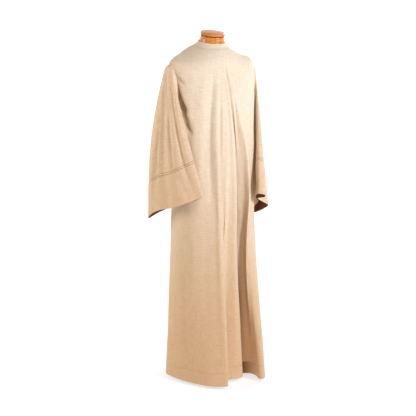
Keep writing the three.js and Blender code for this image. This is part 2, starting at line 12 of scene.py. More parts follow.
import bpy
import numpy as np
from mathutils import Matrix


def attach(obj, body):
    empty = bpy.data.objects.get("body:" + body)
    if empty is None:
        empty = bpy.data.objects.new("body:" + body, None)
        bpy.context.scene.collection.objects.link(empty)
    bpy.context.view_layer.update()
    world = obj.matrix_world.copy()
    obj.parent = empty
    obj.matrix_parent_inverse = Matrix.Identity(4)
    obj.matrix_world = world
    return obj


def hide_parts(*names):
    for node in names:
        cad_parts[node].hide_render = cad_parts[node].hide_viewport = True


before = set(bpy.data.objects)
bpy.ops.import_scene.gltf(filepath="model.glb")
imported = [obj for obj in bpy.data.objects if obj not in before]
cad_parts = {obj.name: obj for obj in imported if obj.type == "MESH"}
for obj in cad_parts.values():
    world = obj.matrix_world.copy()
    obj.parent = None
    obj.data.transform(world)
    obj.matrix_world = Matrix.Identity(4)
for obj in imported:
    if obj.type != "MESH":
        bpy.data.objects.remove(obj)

LOG = logging.getLogger("alb")
MM = 0.001
TAU = 2 * math.pi
Array = np.ndarray
Material, Piece = bpy.types.Material, bpy.types.Object
Tree, Socket = bpy.types.NodeTree, bpy.types.NodeSocket


class Side(Enum):
    """Which of the wearer's sides a piece hangs on, as the sign of its x."""

    RIGHT = -1
    LEFT = 1


def smooth(t: Array) -> Array:
    """The step 3t^2 - 2t^3, level outside 0 to 1."""
    t = np.clip(t, 0.0, 1.0)
    return t * t * (3 - 2 * t)


def bell(distance: Array, width: Array | float) -> Array:
    """A bell curve, exp of minus the square of distance over width."""
    return np.exp(-((distance / width) ** 2))


def hermite(a: Array, b: Array, slope_a: Array, slope_b: Array, t: Array) -> Array:
    """The cubic from a to b over t 0 to 1 with the given slopes at its two ends."""
    t2, t3 = t * t, t * t * t
    ends = a * (2 * t3 - 3 * t2 + 1) + b * (3 * t2 - 2 * t3)
    return ends + slope_a * (t3 - 2 * t2 + t) + slope_b * (t3 - t2)


def through(values: Array, at: Array) -> Array:
    """A smooth curve through evenly numbered values, level past its ends.

    Between two values it is the cubic whose slope at each is half the step between its neighbours.

    Args:
        values: the values, numbered along the first axis; more axes match those of at.
        at: fractional numbers to read the curve at.

    Returns:
        The curve at each number.
    """
    values = np.asarray(values, float)
    last = len(values) - 1
    t = np.clip(at, 0, last)
    i = np.clip(np.floor(t).astype(int), 0, last - 1)

    def pick(k: Array) -> Array:
        """The values numbered k."""
        return values[k] if values.ndim == 1 else np.take_along_axis(values, k[None], 0)[0]

    a, b = pick(i), pick(i + 1)
    before, after = pick(np.maximum(0, i - 1)), pick(np.minimum(last, i + 2))
    return hermite(a, b, (b - before) / 2, (after - a) / 2, t - i)


def unit(vectors: Array) -> Array:
    """Vectors divided by their lengths."""
    return vectors / np.maximum(np.linalg.norm(vectors, axis=-1, keepdims=True), 1e-12)


def grid_normals(points: Array, wrap: bool) -> Array:
    """Outward normals of a grid: the step down crossed with the step across, by central differences.

    Args:
        points: rows by columns of points.
        wrap: whether the last column joins the first.

    Returns:
        A unit normal for each point.
    """
    if wrap:
        across = np.roll(points, -1, 1) - np.roll(points, 1, 1)
    else:
        across = np.gradient(points, axis=1)
    return unit(np.cross(np.gradient(points, axis=0), across))


def ripple(across: Array, along: Array, size: float, seed: int, stretch: float = 3.0) -> Array:
    """Gentle uneven swells, mostly from -1 to 1: a sum of sines with set random directions and phases.

    Args:
        across: millimetres across the cloth.
        along: millimetres down the cloth.
        size: the swells' usual width in millimetres.
        seed: number that sets the directions and phases.
        stretch: how many times longer the swells are down the cloth.

    Returns:
        The height of the swell at each point.
    """
    draw = np.random.default_rng(seed)
    total = np.zeros(np.broadcast(across, along).shape)
    count = 9
    for _ in range(count):
        turn, phase = draw.uniform(-0.9, 0.9), draw.uniform(0, TAU)
        pitch = size * draw.uniform(0.7, 1.9)
        travel = across * math.cos(turn) + along * math.sin(turn) / stretch
        sway = 0.8 * np.sin(along * TAU / (pitch * 4.3) + phase * 2)
        total += np.sin(travel * TAU / pitch + phase + sway)
    return total / (0.62 * count)


@dataclass(frozen=True)
class SoftFold:
    """One soft trough or ridge pressed into the cloth along a bowed line.

    Its ends are (across, along) in the units that its table names. width is the half width of its bell and
    bow how far its middle stands off the straight line, both in those units. depth is in millimetres
    outwards, so a trough's is below 0, and spread is how many times wider it is at its end.
    """

    start: tuple[float, float]
    end: tuple[float, float]
    width: float
    depth: float
    bow: float = 0.0
    spread: float = 1.0

    def relief(self, across: Array, along: Array) -> Array:
        """Depth times a bell across the line times a sine along it.

        Args:
            across: places across the cloth, in the units of the ends.
            along: places down it.

        Returns:
            Millimetres outwards at each point.
        """
        run = np.array(self.end) - np.array(self.start)
        length = float(np.hypot(*run))
        da, dl = across - self.start[0], along - self.start[1]
        t = np.clip((da * run[0] + dl * run[1]) / length**2, 0, 1)
        off = (da * run[1] - dl * run[0]) / length - self.bow * np.sin(np.pi * t)
        width = self.width * (1 + (self.spread - 1) * t)
        return self.depth * bell(off, width) * np.sin(np.pi * t) ** 0.8


# Blender helpers


def linear(hex_colour: str) -> tuple[float, float, float, float]:
    """An sRGB hex colour such as "e6cba4" as linear red, green, blue and an alpha of 1."""
    parts = (int(hex_colour[i:i + 2], 16) / 255 for i in (0, 2, 4))
    red, green, blue = (c / 12.92 if c <= 0.04045 else ((c + 0.055) / 1.055) ** 2.4 for c in parts)
    return red, green, blue, 1.0


def add_node(tree: Tree, kind: str, settings: dict | None = None,
             values: dict | None = None, links: dict | None = None) -> bpy.types.Node:
    """Adds a node to a material.

    Args:
        tree: the material's node tree.
        kind: Blender's name of the node, without the words ShaderNode.
        settings: the node's own properties.
        values: numbers or colours set on its input sockets, by name or number.
        links: output sockets that its inputs are linked from, by name or number.

    Returns:
        The new node.
    """
    node = tree.nodes.new("ShaderNode" + kind)
    for name, value in (settings or {}).items():
        setattr(node, name, value)
    for name, value in (values or {}).items():
        node.inputs[name].default_value = value
    for name, source in (links or {}).items():
        tree.links.new(source, node.inputs[name])
    return node


def new_material(name: str) -> tuple[Material, Tree]:
    """An empty node material and its tree."""
    material = bpy.data.materials.new(name)
    material.use_nodes = True
    material.node_tree.nodes.clear()
    return material, material.node_tree


def mapped(tree: Tree, source: Socket, scale: tuple[float, float, float],
           shift: float = 0.0, turn: float = 0.0) -> Socket:
    """Coordinates scaled, turned and shifted.

    Args:
        tree: the material's node tree.
        source: the coordinates' socket.
        scale: factor on each axis.
        shift: how far they are moved across and down.
        turn: angle they are turned by about the third axis, in radians.

    Returns:
        The new coordinates' socket.
    """
    values = {"Scale": scale, "Location": (shift, shift, 0.0), "Rotation": (0.0, 0.0, turn)}
    return add_node(tree, "Mapping", {"vector_type": "POINT"}, values, {"Vector": source}).outputs["Vector"]


def surface(tree: Tree, values: dict, colour: Socket | None = None,
            height: Socket | None = None, strength: float = 0.0, depth: float = 0.0) -> None:
    """Ends a material with its shader.

    Args:
        tree: the material's node tree.
        values: numbers and colours set on the shader's own sockets.
        colour: the socket that its base colour comes from, where that isn't even.
        height: the socket that its fine relief comes from, where it has one.
        strength: how strongly the relief shows, 0 to 1.
        depth: the relief's height in metres.
    """
    links = {"Base Color": colour} if colour else {}
    if height:
        bump = add_node(tree, "Bump", values={"Strength": strength, "Distance": depth},
                        links={"Height": height})
        links["Normal"] = bump.outputs["Normal"]
    shader = add_node(tree, "BsdfPrincipled", values=values, links=links)
    add_node(tree, "OutputMaterial", links={"Surface": shader.outputs["BSDF"]})


def ramp(tree: Tree, factor: Socket,
         stops: list[tuple[float, str]]) -> Socket:
    """A colour ramp's output.

    Args:
        tree: the material's node tree.
        factor: the socket that drives it.
        stops: (place, hex colour) pairs in order.

    Returns:
        The ramp's colour socket.
    """
    node = add_node(tree, "ValToRGB", links={"Fac": factor})
    elements = node.color_ramp.elements
    elements[0].position, elements[0].color = stops[0][0], linear(stops[0][1])
    elements[1].position, elements[1].color = stops[-1][0], linear(stops[-1][1])
    for place, colour in stops[1:-1]:
        elements.new(place).color = linear(colour)
    return node.outputs["Color"]


def grid_piece(name: str, points: Array, wrap: bool, shade: Array | None = None,
               close: bool = False) -> Piece:
    """A smooth mesh object from a grid of points.

    Its UV map holds real metres: across from the grid's middle column, and down its middle column.

    Args:
        name: the object's name.
        points: rows by columns of points in millimetres, rows going down as seen from outside.
        wrap: whether the last column joins the first.
        shade: painted shade, how far each point is darkened, 0 to 1, in stitches, deep folds, inside a cuff
            and where the neck's cap meets its block.
        close: whether to fill the first and last rows with fans.

    Returns:
        The new object, in the scene's collection.
    """
    rows, columns = points.shape[:2]
    spans = columns if wrap else columns - 1
    j, i = np.meshgrid(np.arange(rows - 1), np.arange(spans), indexing="ij")
    a, b = j * columns + i, j * columns + (i + 1) % columns
    quads = np.stack([a, a + columns, b + columns, b], -1).reshape(-1, 4)
    vertices = points.reshape(-1, 3) * MM
    faces = quads.tolist()
    if close:
        ends = points[[0, -1]].mean(1) * MM
        vertices = np.vstack([vertices, ends])
        top, bottom = rows * columns, rows * columns + 1
        ring = np.arange(spans)
        onward = (ring + 1) % columns
        last = (rows - 1) * columns
        faces += np.stack([np.full(spans, top), ring, onward], 1).tolist()
        faces += np.stack([np.full(spans, bottom), last + onward, last + ring], 1).tolist()
    mesh = bpy.data.meshes.new(name)
    mesh.from_pydata(vertices.tolist(), [], faces)
    mesh.polygons.foreach_set("use_smooth", np.ones(len(mesh.polygons), bool))
    if not close:
        middle = columns // 2
        steps_down = np.linalg.norm(np.diff(points[:, middle], axis=0), axis=-1)
        down = np.concatenate([[0.0], np.cumsum(steps_down)])
        ring = np.concatenate([points, points[:, :1]], 1) if wrap else points
        steps = np.linalg.norm(np.diff(ring, axis=1), axis=-1)
        over = np.concatenate([np.zeros((rows, 1)), np.cumsum(steps, 1)], 1)
        over -= over[:, middle:middle + 1]
        corner_row = np.stack([j, j + 1, j + 1, j], -1)
        corner_column = np.stack([i, i, i + 1, i + 1], -1)
        uv = np.stack([over[corner_row, corner_column], -down[corner_row]], -1) * MM
        layer = mesh.uv_layers.new(name="cloth")
        layer.data.foreach_set("uv", uv.astype(np.float32).ravel())
    if shade is not None:
        attribute = mesh.attributes.new("groove_and_painted_shade", "FLOAT", "POINT")
        values = np.zeros(len(vertices), np.float32)
        values[:rows * columns] = shade.ravel()
        attribute.data.foreach_set("value", values)
    mesh.update()
    piece = bpy.data.objects.new(name, mesh)
    bpy.context.scene.collection.objects.link(piece)
    return piece


def thicken(piece: Piece, thickness: float) -> None:
    """Gives a sheet its thickness inwards, in millimetres, by a Solidify modifier."""
    modifier = piece.modifiers.new("cloth thickness", "SOLIDIFY")
    modifier.thickness = thickness * MM
    modifier.offset = -1
    modifier.use_even_offset = False


def turned_edge(edge: Array, out: Array, down: Array, radius: float, turns: Array) -> list[Array]:
    """Rows that carry a sheet's edge over a half circle to its inside, one at each turn."""
    return [edge - out * radius * (1 - math.cos(t)) + down * radius * math.sin(t) for t in turns]


def finish_piece(piece: Piece, material: Material, slot: str, *nodes: str) -> None:
    """Dresses a piece, rides it on the one body and hides the CAD nodes that it stands for."""
    piece.data.materials.append(material)
    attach(piece, "root")
    if nodes:
        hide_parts(*nodes)
    LOG.info("%s: %d faces", piece.name, len(piece.data.polygons))


# Finishes

BAND = 0.31  # scale of Blender's wave texture at which a dark and a light band share one unit


@dataclass(frozen=True)
class WovenLinen:
    """Washed undyed linen, plain weave: matt, a little slubby, with darker and lighter flecks of flax."""

    name: str = "washed_linen_plain_weave"
    light: str = "ede1cb"
    middle: str = "e4d5b9"
    dark: str = "d7c2a0"
    painted_low_shade: str = "f0d8c0"  # painted shade: what the lower cloth is multiplied by, darker and tanner towards the hem, where less light falls
    painted_shade_from: float = 0.1  # heights in metres between which that fades out
    painted_shade_to: float = 1.35
    painted_shade_tint: str = "8c5e36"  # painted shade: what stitches, deep folds and a cuff's inside are multiplied by
    thread: float = 1.5  # real threads are 0.6 mm apart; drawn coarser so that they show
    slub_length: float = 42.0
    slub_width: float = 2.6
    bump: float = 0.3

    def material(self) -> Material:
        """The cloth's material, patterned along its own UV map in real millimetres."""
        material, tree = new_material(self.name)
        uv = add_node(tree, "UVMap", {"uv_map": "cloth"}).outputs["UV"]
        slubs = self.slubs(tree, uv)
        colour = ramp(tree, slubs, [(0.32, self.dark), (0.5, self.middle), (0.68, self.light)])
        # painted shade: the cloth is darkened and tanned towards the hem, where less light falls
        place = add_node(tree, "TexCoord").outputs["Object"]
        rise = add_node(tree, "SeparateXYZ", links={"Vector": place}).outputs["Z"]
        low_shade_share = add_node(tree, "MapRange", {"interpolation_type": "SMOOTHSTEP"},
                           {"From Min": self.painted_shade_to, "From Max": self.painted_shade_from}, {"Value": rise})
        low_shaded = self.multiplied(tree, colour, self.painted_low_shade, low_shade_share.outputs["Result"])
        # painted shade: stitches, deep folds and a cuff's inside are darkened as far as the attribute says
        groove_and_painted_shade = add_node(tree, "Attribute", {"attribute_name": "groove_and_painted_shade"}).outputs["Fac"]
        shaded = self.multiplied(tree, low_shaded, self.painted_shade_tint, groove_and_painted_shade)
        height = add_node(tree, "Math", {"operation": "ADD"}, links={0: self.weave(tree, uv), 1: slubs})
        surface(tree, {"Roughness": 0.86, "Sheen Weight": 0.12, "Sheen Roughness": 0.5,
                       "Specular IOR Level": 0.3}, shaded, height.outputs[0], self.bump, 0.0006)
        return material

    def slubs(self, tree: Tree, uv: Socket) -> Socket:
        """Thick and thin places along the threads both ways, about 0.5."""
        long, thin = 1000 / self.slub_length, 1000 / self.slub_width
        parts = []
        for scale, seed in (((long, thin, 1.0), 3.0), ((thin, long, 1.0), 8.0)):
            noise = add_node(tree, "TexNoise", {"noise_dimensions": "2D"},
                             {"Scale": 1.0, "Detail": 4.0, "Roughness": 0.7},
                             {"Vector": mapped(tree, uv, scale, seed)})
            parts.append(noise.outputs["Fac"])
        both = add_node(tree, "Math", {"operation": "ADD"}, links={0: parts[0], 1: parts[1]}).outputs[0]
        return add_node(tree, "Math", {"operation": "MULTIPLY"}, {1: 0.5}, {0: both}).outputs[0]

    def weave(self, tree: Tree, uv: Socket) -> Socket:
        """The crossing threads: soft bands both ways, multiplied."""
        threads = []
        for turn in (0.0, math.pi / 2):
            wave = add_node(tree, "TexWave", {"wave_type": "BANDS", "bands_direction": "X"},
                            {"Scale": BAND, "Distortion": 1.6, "Detail": 2.0, "Detail Scale": 0.6},
                            {"Vector": mapped(tree, uv, (1000 / self.thread,) * 3, turn=turn)})
            threads.append(wave.outputs["Fac"])
        product = add_node(tree, "Math", {"operation": "MULTIPLY"}, links={0: threads[0], 1: threads[1]})
        return product.outputs[0]

    def multiplied(self, tree: Tree, colour: Socket, by: str,
                   share: Socket) -> Socket:
        """A colour multiplied by another, as far as share says."""
        mix = add_node(tree, "Mix", {"data_type": "RGBA", "blend_type": "MULTIPLY"}, {"B": linear(by)},
                       {"Factor": share, "A": colour})
        return mix.outputs["Result"]


@dataclass(frozen=True)
class TurnedWood:
    """Beech turned on a lathe and varnished: warm orange, fine long grain, a soft gloss."""

    name: str = "turned_varnished_beech"
    light: str = "ea9c42"
    dark: str = "b05c14"
    painted_gap_shade: str = "8a2f14"  # painted shade: the dark line where the cap meets the block, standing for the shadow in the gap between them
    grain: float = 4.5  # millimetres across the grain
    grain_length: float = 50.0
    gloss: float = 0.38

    def material(self) -> Material:
        """The wood's material, with grain that runs across the neck as the plank did."""
        material, tree = new_material(self.name)
        place = add_node(tree, "TexCoord").outputs["Object"]
        scale = (1000 / self.grain_length, 1000 / self.grain, 1000 / self.grain)
        noise = add_node(tree, "TexNoise", None, {"Scale": 1.0, "Detail": 5.0, "Roughness": 0.65,
                                                  "Distortion": 0.4},
                         {"Vector": mapped(tree, place, scale)}).outputs["Fac"]
        grained = ramp(tree, noise, [(0.36, self.dark), (0.62, self.light)])
        groove_and_painted_shade = add_node(tree, "Attribute", {"attribute_name": "groove_and_painted_shade"}).outputs["Fac"]
        # painted shade: a dark line where the cap meets the block
        colour = add_node(tree, "Mix", {"data_type": "RGBA"}, {"B": linear(self.painted_gap_shade)},
                          {"Factor": groove_and_painted_shade, "A": grained}).outputs["Result"]
        surface(tree, {"Roughness": self.gloss, "Coat Weight": 0.25, "Coat Roughness": 0.25},
                colour, noise, 0.12, 0.0004)
        return material


@dataclass(frozen=True)
class StretchedJersey:
    """Cotton jersey stretched over the form: matt and even, since the alb hides it."""

    name: str = "stretched_cotton_jersey"
    colour: str = "cfc3ad"

    def material(self) -> Material:
        """The cover's material."""
        material, tree = new_material(self.name)
        surface(tree, {"Base Color": linear(self.colour), "Roughness": 0.9, "Sheen Weight": 0.2})
        return material


@dataclass(frozen=True)
class PowderCoat:
    """Steel with a satin powder coat: dark grey, faint orange peel."""

    name: str = "satin_powder_coated_steel"
    light: str = "4a4a4c"
    dark: str = "3a3a3d"
    peel: float = 3.0

    def material(self) -> Material:
        """The coat's material."""
        material, tree = new_material(self.name)
        place = add_node(tree, "TexCoord").outputs["Object"]
        noise = add_node(tree, "TexNoise", None, {"Scale": 1000 / self.peel, "Detail": 2.0},
                         {"Vector": place}).outputs["Fac"]
        colour = ramp(tree, noise, [(0.3, self.dark), (0.7, self.light)])
        surface(tree, {"Roughness": 0.45, "Specular IOR Level": 0.5}, colour, noise, 0.15, 0.0003)
        return material


# The body of the alb


@dataclass(frozen=True)
class Ring:
    """A smooth level section of the body before any fold.

    side, front_z and back_z are heights, half_width, front and back reaches from the axis, square the power
    of the superellipse, and fall says how the height runs from the side to the centre.
    """

    side: float
    front_z: float
    back_z: float
    half_width: float
    front: float
    back: float
    square: float
    fall: float = 1.0


@dataclass(frozen=True)
class Crease:
    """A crest or valley: its angle and its distance out from the smooth section at four heights."""

    name: str
    top: float
    waist: float
    thigh: float
    hem: float
    out_waist: float
    out_thigh: float
    out_hem: float


HEM_Z = 15.0
NECK_Z = 1486.0
NECK_RADIUS = 76.0
NECK_LEAN = math.radians(9.5)
NECK_RISE = NECK_RADIUS * math.tan(NECK_LEAN)
CREASE_HEIGHTS = (1400.0, 1050.0, 600.0, HEM_Z)
RINGS = (
    Ring(NECK_Z, NECK_Z - NECK_RISE, NECK_Z + NECK_RISE, NECK_RADIUS, NECK_RADIUS, NECK_RADIUS, 2.0),
    Ring(1453, 1433, 1481, 133, 95, 101, 2.1, 1.1),
    Ring(1421, 1368, 1412, 203, 107, 115, 2.1, 1.4),
    Ring(1306, 1288, 1296, 201, 127, 120, 2.25, 1.6),
    Ring(1185, 1185, 1185, 193, 135, 123, 2.35),
    Ring(1020, 1020, 1020, 189, 142, 130, 2.3),
    Ring(800, 800, 800, 191, 155, 143, 2.15),
    Ring(420, 420, 420, 207, 180, 169, 2.0),
    Ring(HEM_Z, HEM_Z, HEM_Z, 225, 205, 196, 2.0),
)
SHOULDER_RING, UNDERARM_RING, HEM_RING = 2, 4, 8
CREASES = (
    Crease("right back round", -112, -112, -112, -110, -3, -8, -8),
    Crease("right side", -90, -90, -90, -89, -4, -12, -32),
    Crease("right flat", -69, -69, -68, -66, 0, -9, -36),
    Crease("right front flat", -49, -51, -51, -48, 2, -6, -23),
    Crease("front hollow", -33, -36, -36, -34, -5, -3, -5),
    Crease("apron swell", -19, -22, -23, -22, -7, 5, 7),
    Crease("apron crest", -9, -9, -13, -12.5, 1, 9, 11),
    Crease("apron turn", -5, -4, -11.5, -12, 3, -3, -24),
    Crease("apron valley", -2, 1, -8, -8, 2, -15, -54),
    Crease("inner panel left", 1, 7.5, -1, 2, 3, -14, -57),
    Crease("inner panel", 4, 14, 7, 15, 6, -6, -44),
    Crease("long crest", 7, 18.5, 13, 26, 2, -11, -42),
    Crease("long turn", 9, 19.5, 14, 28.5, -10, -29, -62),
    Crease("long valley", 12, 27, 24, 38.5, -22, -45, -70),
    Crease("left rise", 17, 36, 34, 43, -12, -28, -28),
    Crease("left turn", 24, 42, 35, 37, -3, -8, 5),
    Crease("left crest in", 32, 47, 36, 30.5, 2, 6, 30),
    Crease("left crest", 42, 54, 43, 33, 4, 12, 50),
    Crease("left crest out", 54, 62, 54, 43, 4, 9, 38),
    Crease("left front round", 71, 74, 71, 61, 2, 4, 14),
    Crease("left side", 90, 90, 88, 82, 0, -2, -6),
    Crease("left back crest", 108, 108, 106, 103, 2, 5, 8),
    Crease("left back valley", 128, 127, 126, 126, -3, -11, -24),
    Crease("back crest left", 146, 146, 147, 148, 2, 7, 14),
    Crease("back valley left", 163, 162, 163, 166, -5, -15, -32),
    Crease("centre back", 180, 179, 179, 183, 1, 3, 7),
    Crease("back valley right", 198, 197, 197, 201, -5, -14, -28),
    Crease("back crest right", 216, 216, 216, 219, 2, 6, 12),
    Crease("right back valley", 233, 234, 235, 236, -3, -12, -21),
)
RIGHT_SEAM, LEFT_SEAM, BACK_SEAM = (
    [crease.name for crease in CREASES].index(name) for name in ("right side", "left side", "centre back"))


TORSO_TOP = NECK_Z - 2.4
TORSO_BOTTOM = 800.0
FORM_WALL = 1.6  # the cloth's wall over the form's torso
FORM_CLEARANCE = (0.5, 6, 13, 20, 30, 38, 36)  # how far the torso lies inside the cloth, by ring
RIDGE_GAP = 0.5  # and along the ridge of the shoulders, where the cloth rests on it


def form_gap(angle: Array, v: Array) -> Array:
    """How far the torso lies inside the cloth's wall, at an angle round the body and a ring number."""
    off_ridge = 1 - np.abs(np.sin(angle)) ** 6
    share = np.maximum(off_ridge, smooth((v - SHOULDER_RING) * 1.5))
    whole = through(FORM_CLEARANCE, np.minimum(v, len(FORM_CLEARANCE) - 1.0))
    return RIDGE_GAP + (whole - RIDGE_GAP) * share


# Across is millimetres round the shoulders from the middle of the front, along is millimetres below the
# neck, and left and right in these comments are as seen from the front.
BODY_FOLDS = (
    SoftFold((8, 70), (22, 700), 7, -10.0),  # the long fold's dark line, from the breast
    SoftFold((22, 430), (34, 1230), 9, -13.0),
    SoftFold((24, 80), (62, 470), 10, 9.0),  # the lobe right of it, whose left wall lies in shade
    SoftFold((54, 330), (88, 760), 14, 13.0),
    SoftFold((80, 560), (69, 1340), 15, 19.0),
    SoftFold((24, 220), (48, 960), 12, -9.0),
    SoftFold((-4, 80), (10, 760), 6, 5.0),
    SoftFold((10, 500), (16, 1300), 7, 5.0),
    SoftFold((-86, 76), (-86, 720), 8, -7.5, spread=1.8),  # soft valley left of it
    SoftFold((-92, 110), (-122, 640), 14, -4.0, spread=1.8),
    SoftFold((-66, 100), (-66, 640), 8, 2.5),
    SoftFold((-58, 90), (-52, 1200), 8, 4.5),
    SoftFold((-47, 140), (-46, 520), 6, -1.6),
    SoftFold((-37, 150), (-38, 560), 7, 2.0),
    SoftFold((-54, 600), (-36, 1460), 12, 7.5),
    SoftFold((-34, 620), (-2, 1470), 8, -13.0),
    SoftFold((34, 900), (40, 1480), 13, -8.0),
    SoftFold((2, 560), (8, 1330), 6, 3.5),
    SoftFold((-280, 50), (-178, 372), 10, -14.0),  # pulled in beside the armhole on the left
    SoftFold((-240, 112), (-206, 156), 8, -7.0),
    SoftFold((-238, 226), (-190, 268), 13, -9.0),
    SoftFold((-222, 300), (-178, 356), 9, -5.0),
    SoftFold((-214, 250), (-168, 300), 9, 2.5),
    SoftFold((176, 60), (216, 130), 5, 1.9),  # diagonal wrinkles beside the other one
    SoftFold((166, 70), (206, 144), 6, -2.3),
    SoftFold((156, 82), (196, 160), 6, 1.6),
    SoftFold((222, 170), (176, 236), 9, -4.0),
    SoftFold((-160, 620), (-196, 1240), 20, 3.0, bow=8.0),  # faint long swells of the skirt
    SoftFold((-206, 760), (-216, 1380), 16, -3.0, bow=-6.0),
    SoftFold((-120, 700), (-112, 1340), 16, -2.6, bow=5.0),
    SoftFold((70, 330), (84, 1020), 14, 2.6, bow=4.0),
    SoftFold((112, 260), (128, 900), 13, -2.8, bow=-6.0),
    SoftFold((196, 480), (190, 1160), 16, -3.0, bow=5.0),
    SoftFold((330, 108), (376, 190), 9, -4.0),  # the back, from the wearer's left side on
    SoftFold((322, 206), (368, 262), 13, -6.5),
    SoftFold((352, 420), (364, 1120), 15, -3.0, bow=-5.0),
    SoftFold((420, 290), (430, 960), 11, -3.4, bow=4.0),
    SoftFold((470, 112), (452, 640), 12, -5.0, spread=1.8),
    SoftFold((497, 140), (492, 720), 13, 3.6),
    SoftFold((520, 420), (514, 1150), 12, -4.0, bow=3.0),
    SoftFold((566, 160), (577, 760), 12, 3.2),
    SoftFold((590, 96), (614, 560), 10, -4.6, spread=1.8),
    SoftFold((642, 520), (652, 1220), 13, -4.0, bow=-4.0),
    SoftFold((692, 330), (684, 980), 11, -3.0, bow=5.0),
    SoftFold((748, 116), (708, 192), 9, -4.4),
    SoftFold((758, 218), (712, 290), 13, -7.0),
    SoftFold((760, 520), (750, 1240), 16, 3.0, bow=-6.0),
)


@dataclass(frozen=True)
class Body:
    """The cloth's outer face from the neck to the hem, with its falling folds and small creases.

    A point is named by s, which counts the creases round the body, and v, which counts the rings down it.
    """

    armhole_front: float = 12.0
    armhole_back: float = 15.0
    swell: float = 1.1
    swell_size: float = 46.0
    swell_seed: int = 11
    arc_per_degree: float = 3.0
    keep_clear: float = 4.5  # kept between the cloth's outer face and the form, where there is that much
    least_room: float = 0.3
    torso_margin: float = 8.0  # the torso still counts this far below its bottom
    free_room: float = 60.0  # the room below it, reached over as much height
    shallow: float = 2.5  # folds less deep than this stay as light as the cloth round them
    deep: float = 11.0  # and those deeper by this much are the darkest
    meet_width: float = 120.0  # how far before the right side seam the swells turn into those past it
    folds: tuple[SoftFold, ...] = BODY_FOLDS

    @property
    def whole_turn(self) -> float:
        """Millimetres round the shoulders that stand for the whole way round."""
        return 360 * self.arc_per_degree

    def ring(self, column: str, v: Array) -> Array:
        """One column of the ring table, read smoothly at ring number v."""
        return through([getattr(ring, column) for ring in RINGS], v)

    def reach(self, angle: Array, v: Array) -> Array:
        """Distance of the smooth section from the axis: a superellipse with its own front and back."""
        c, s = np.cos(angle), np.sin(angle)
        depth = np.where(c > 0, self.ring("front", v), self.ring("back", v))
        power = self.ring("square", v)
        total = np.abs(c / depth) ** power + np.abs(s / self.ring("half_width", v)) ** power
        return total ** (-1 / power)

    def height(self, angle: Array, v: Array) -> Array:
        """Height of the ring at an angle: level with its side, falling to its front or back height."""
        c = np.cos(angle)
        end = np.where(c > 0, self.ring("front_z", v), self.ring("back_z", v))
        side = self.ring("side", v)
        return side + (end - side) * np.abs(c) ** self.ring("fall", v)

    def crease_spot(self, number: Array, v: Array) -> tuple[Array, Array]:
        """Where a crease passes a ring: its angle, and its reach with the crease's distance out."""
        count = len(CREASES)
        which, turn = number % count, 360.0 * (number // count)

        def column(*names: str) -> Array:
            """Table columns by name, read for each crease."""
            table = [[getattr(crease, name) for crease in CREASES] for name in names]
            return np.array(table)[:, which]

        top = column("top")[0] + turn
        level = np.interp(-self.height(np.radians(top), v), [-z for z in CREASE_HEIGHTS], range(4))
        angle = np.radians(through(column("top", "waist", "thigh", "hem"), level) + turn)
        out = column("out_waist", "out_thigh", "out_hem")
        out = through(np.concatenate([np.zeros((1,) + out.shape[1:]), out]), level)
        return angle, self.reach(angle, v) + out

    def drape(self, s: Array, v: Array) -> Array:
        """The folded cloth before its small creases: in plan, a cubic from each crease to the next."""
        s, v = np.broadcast_arrays(np.asarray(s, float), np.asarray(v, float))
        i = np.floor(s).astype(int)
        plan = []
        for k in (-1, 0, 1, 2):
            angle, reach = self.crease_spot(i + k, v)
            plan.append(np.stack([reach * np.sin(angle), -reach * np.cos(angle)], -1))
        t = (s - i)[..., None]
        xy = hermite(plan[1], plan[2], (plan[2] - plan[0]) / 2, (plan[3] - plan[1]) / 2, t)
        z = self.height(np.arctan2(xy[..., 0], -xy[..., 1]), v)
        return np.concatenate([xy, z[..., None]], -1)

    def normal(self, s: Array, v: Array) -> Array:
        """Direction out of the cloth, from small steps across and down it."""
        step = 0.02
        across = self.drape(s + step, v) - self.drape(s - step, v)
        down = self.drape(s, np.minimum(HEM_RING, v + step)) - self.drape(s, np.maximum(0, v - step))
        return unit(np.cross(down, across))

    def top_angle(self, s: Array) -> Array:
        """The angle at the shoulders of the place numbered s, which names it all the way down."""
        count = len(CREASES)
        numbers = np.arange(-1, 2 * count + 2)
        angles = np.array([CREASES[n % count].top + 360.0 * (n // count) for n in numbers])
        return np.interp(s, numbers, angles)

    def crease_at(self, degrees: Array) -> Array:
        """The place s whose top angle is given: the other way round from top_angle."""
        count = len(CREASES)
        numbers = np.arange(RIGHT_SEAM, RIGHT_SEAM + count + 1)
        angles = np.array([CREASES[n % count].top + 360.0 * (n // count) for n in numbers])
        return np.interp(degrees, angles, numbers)

    def point(self, s: Array, v: Array) -> Array:
        """The finished outer face: the drape moved along its normal by the small creases and swells."""
        s, v = np.broadcast_arrays(np.asarray(s, float), np.asarray(v, float))
        place = self.drape(s, v)
        across, down = self.top_angle(s) * self.arc_per_degree, NECK_Z - place[..., 2]
        relief = self.fold_relief(across, down)
        room = self.room_over_form(place, v)
        relief = relief / (1 + (np.minimum(relief, 0) / room) ** 4) ** 0.25
        # The swells fade in below the neck and are weaker at the hem.
        free = smooth((v - 1.2) / 2.5) * smooth((HEM_RING + 0.6 - v) / 1.5)
        seam = CREASES[RIGHT_SEAM].top * self.arc_per_degree + self.whole_turn
        meet = smooth((across - seam + self.meet_width) / self.meet_width)
        here = ripple(across, down, self.swell_size, self.swell_seed)
        past = ripple(across - self.whole_turn, down, self.swell_size, self.swell_seed)
        relief = relief + self.swell * free * (here * (1 - meet) + past * meet)
        return place + relief[..., None] * self.normal(s, v)

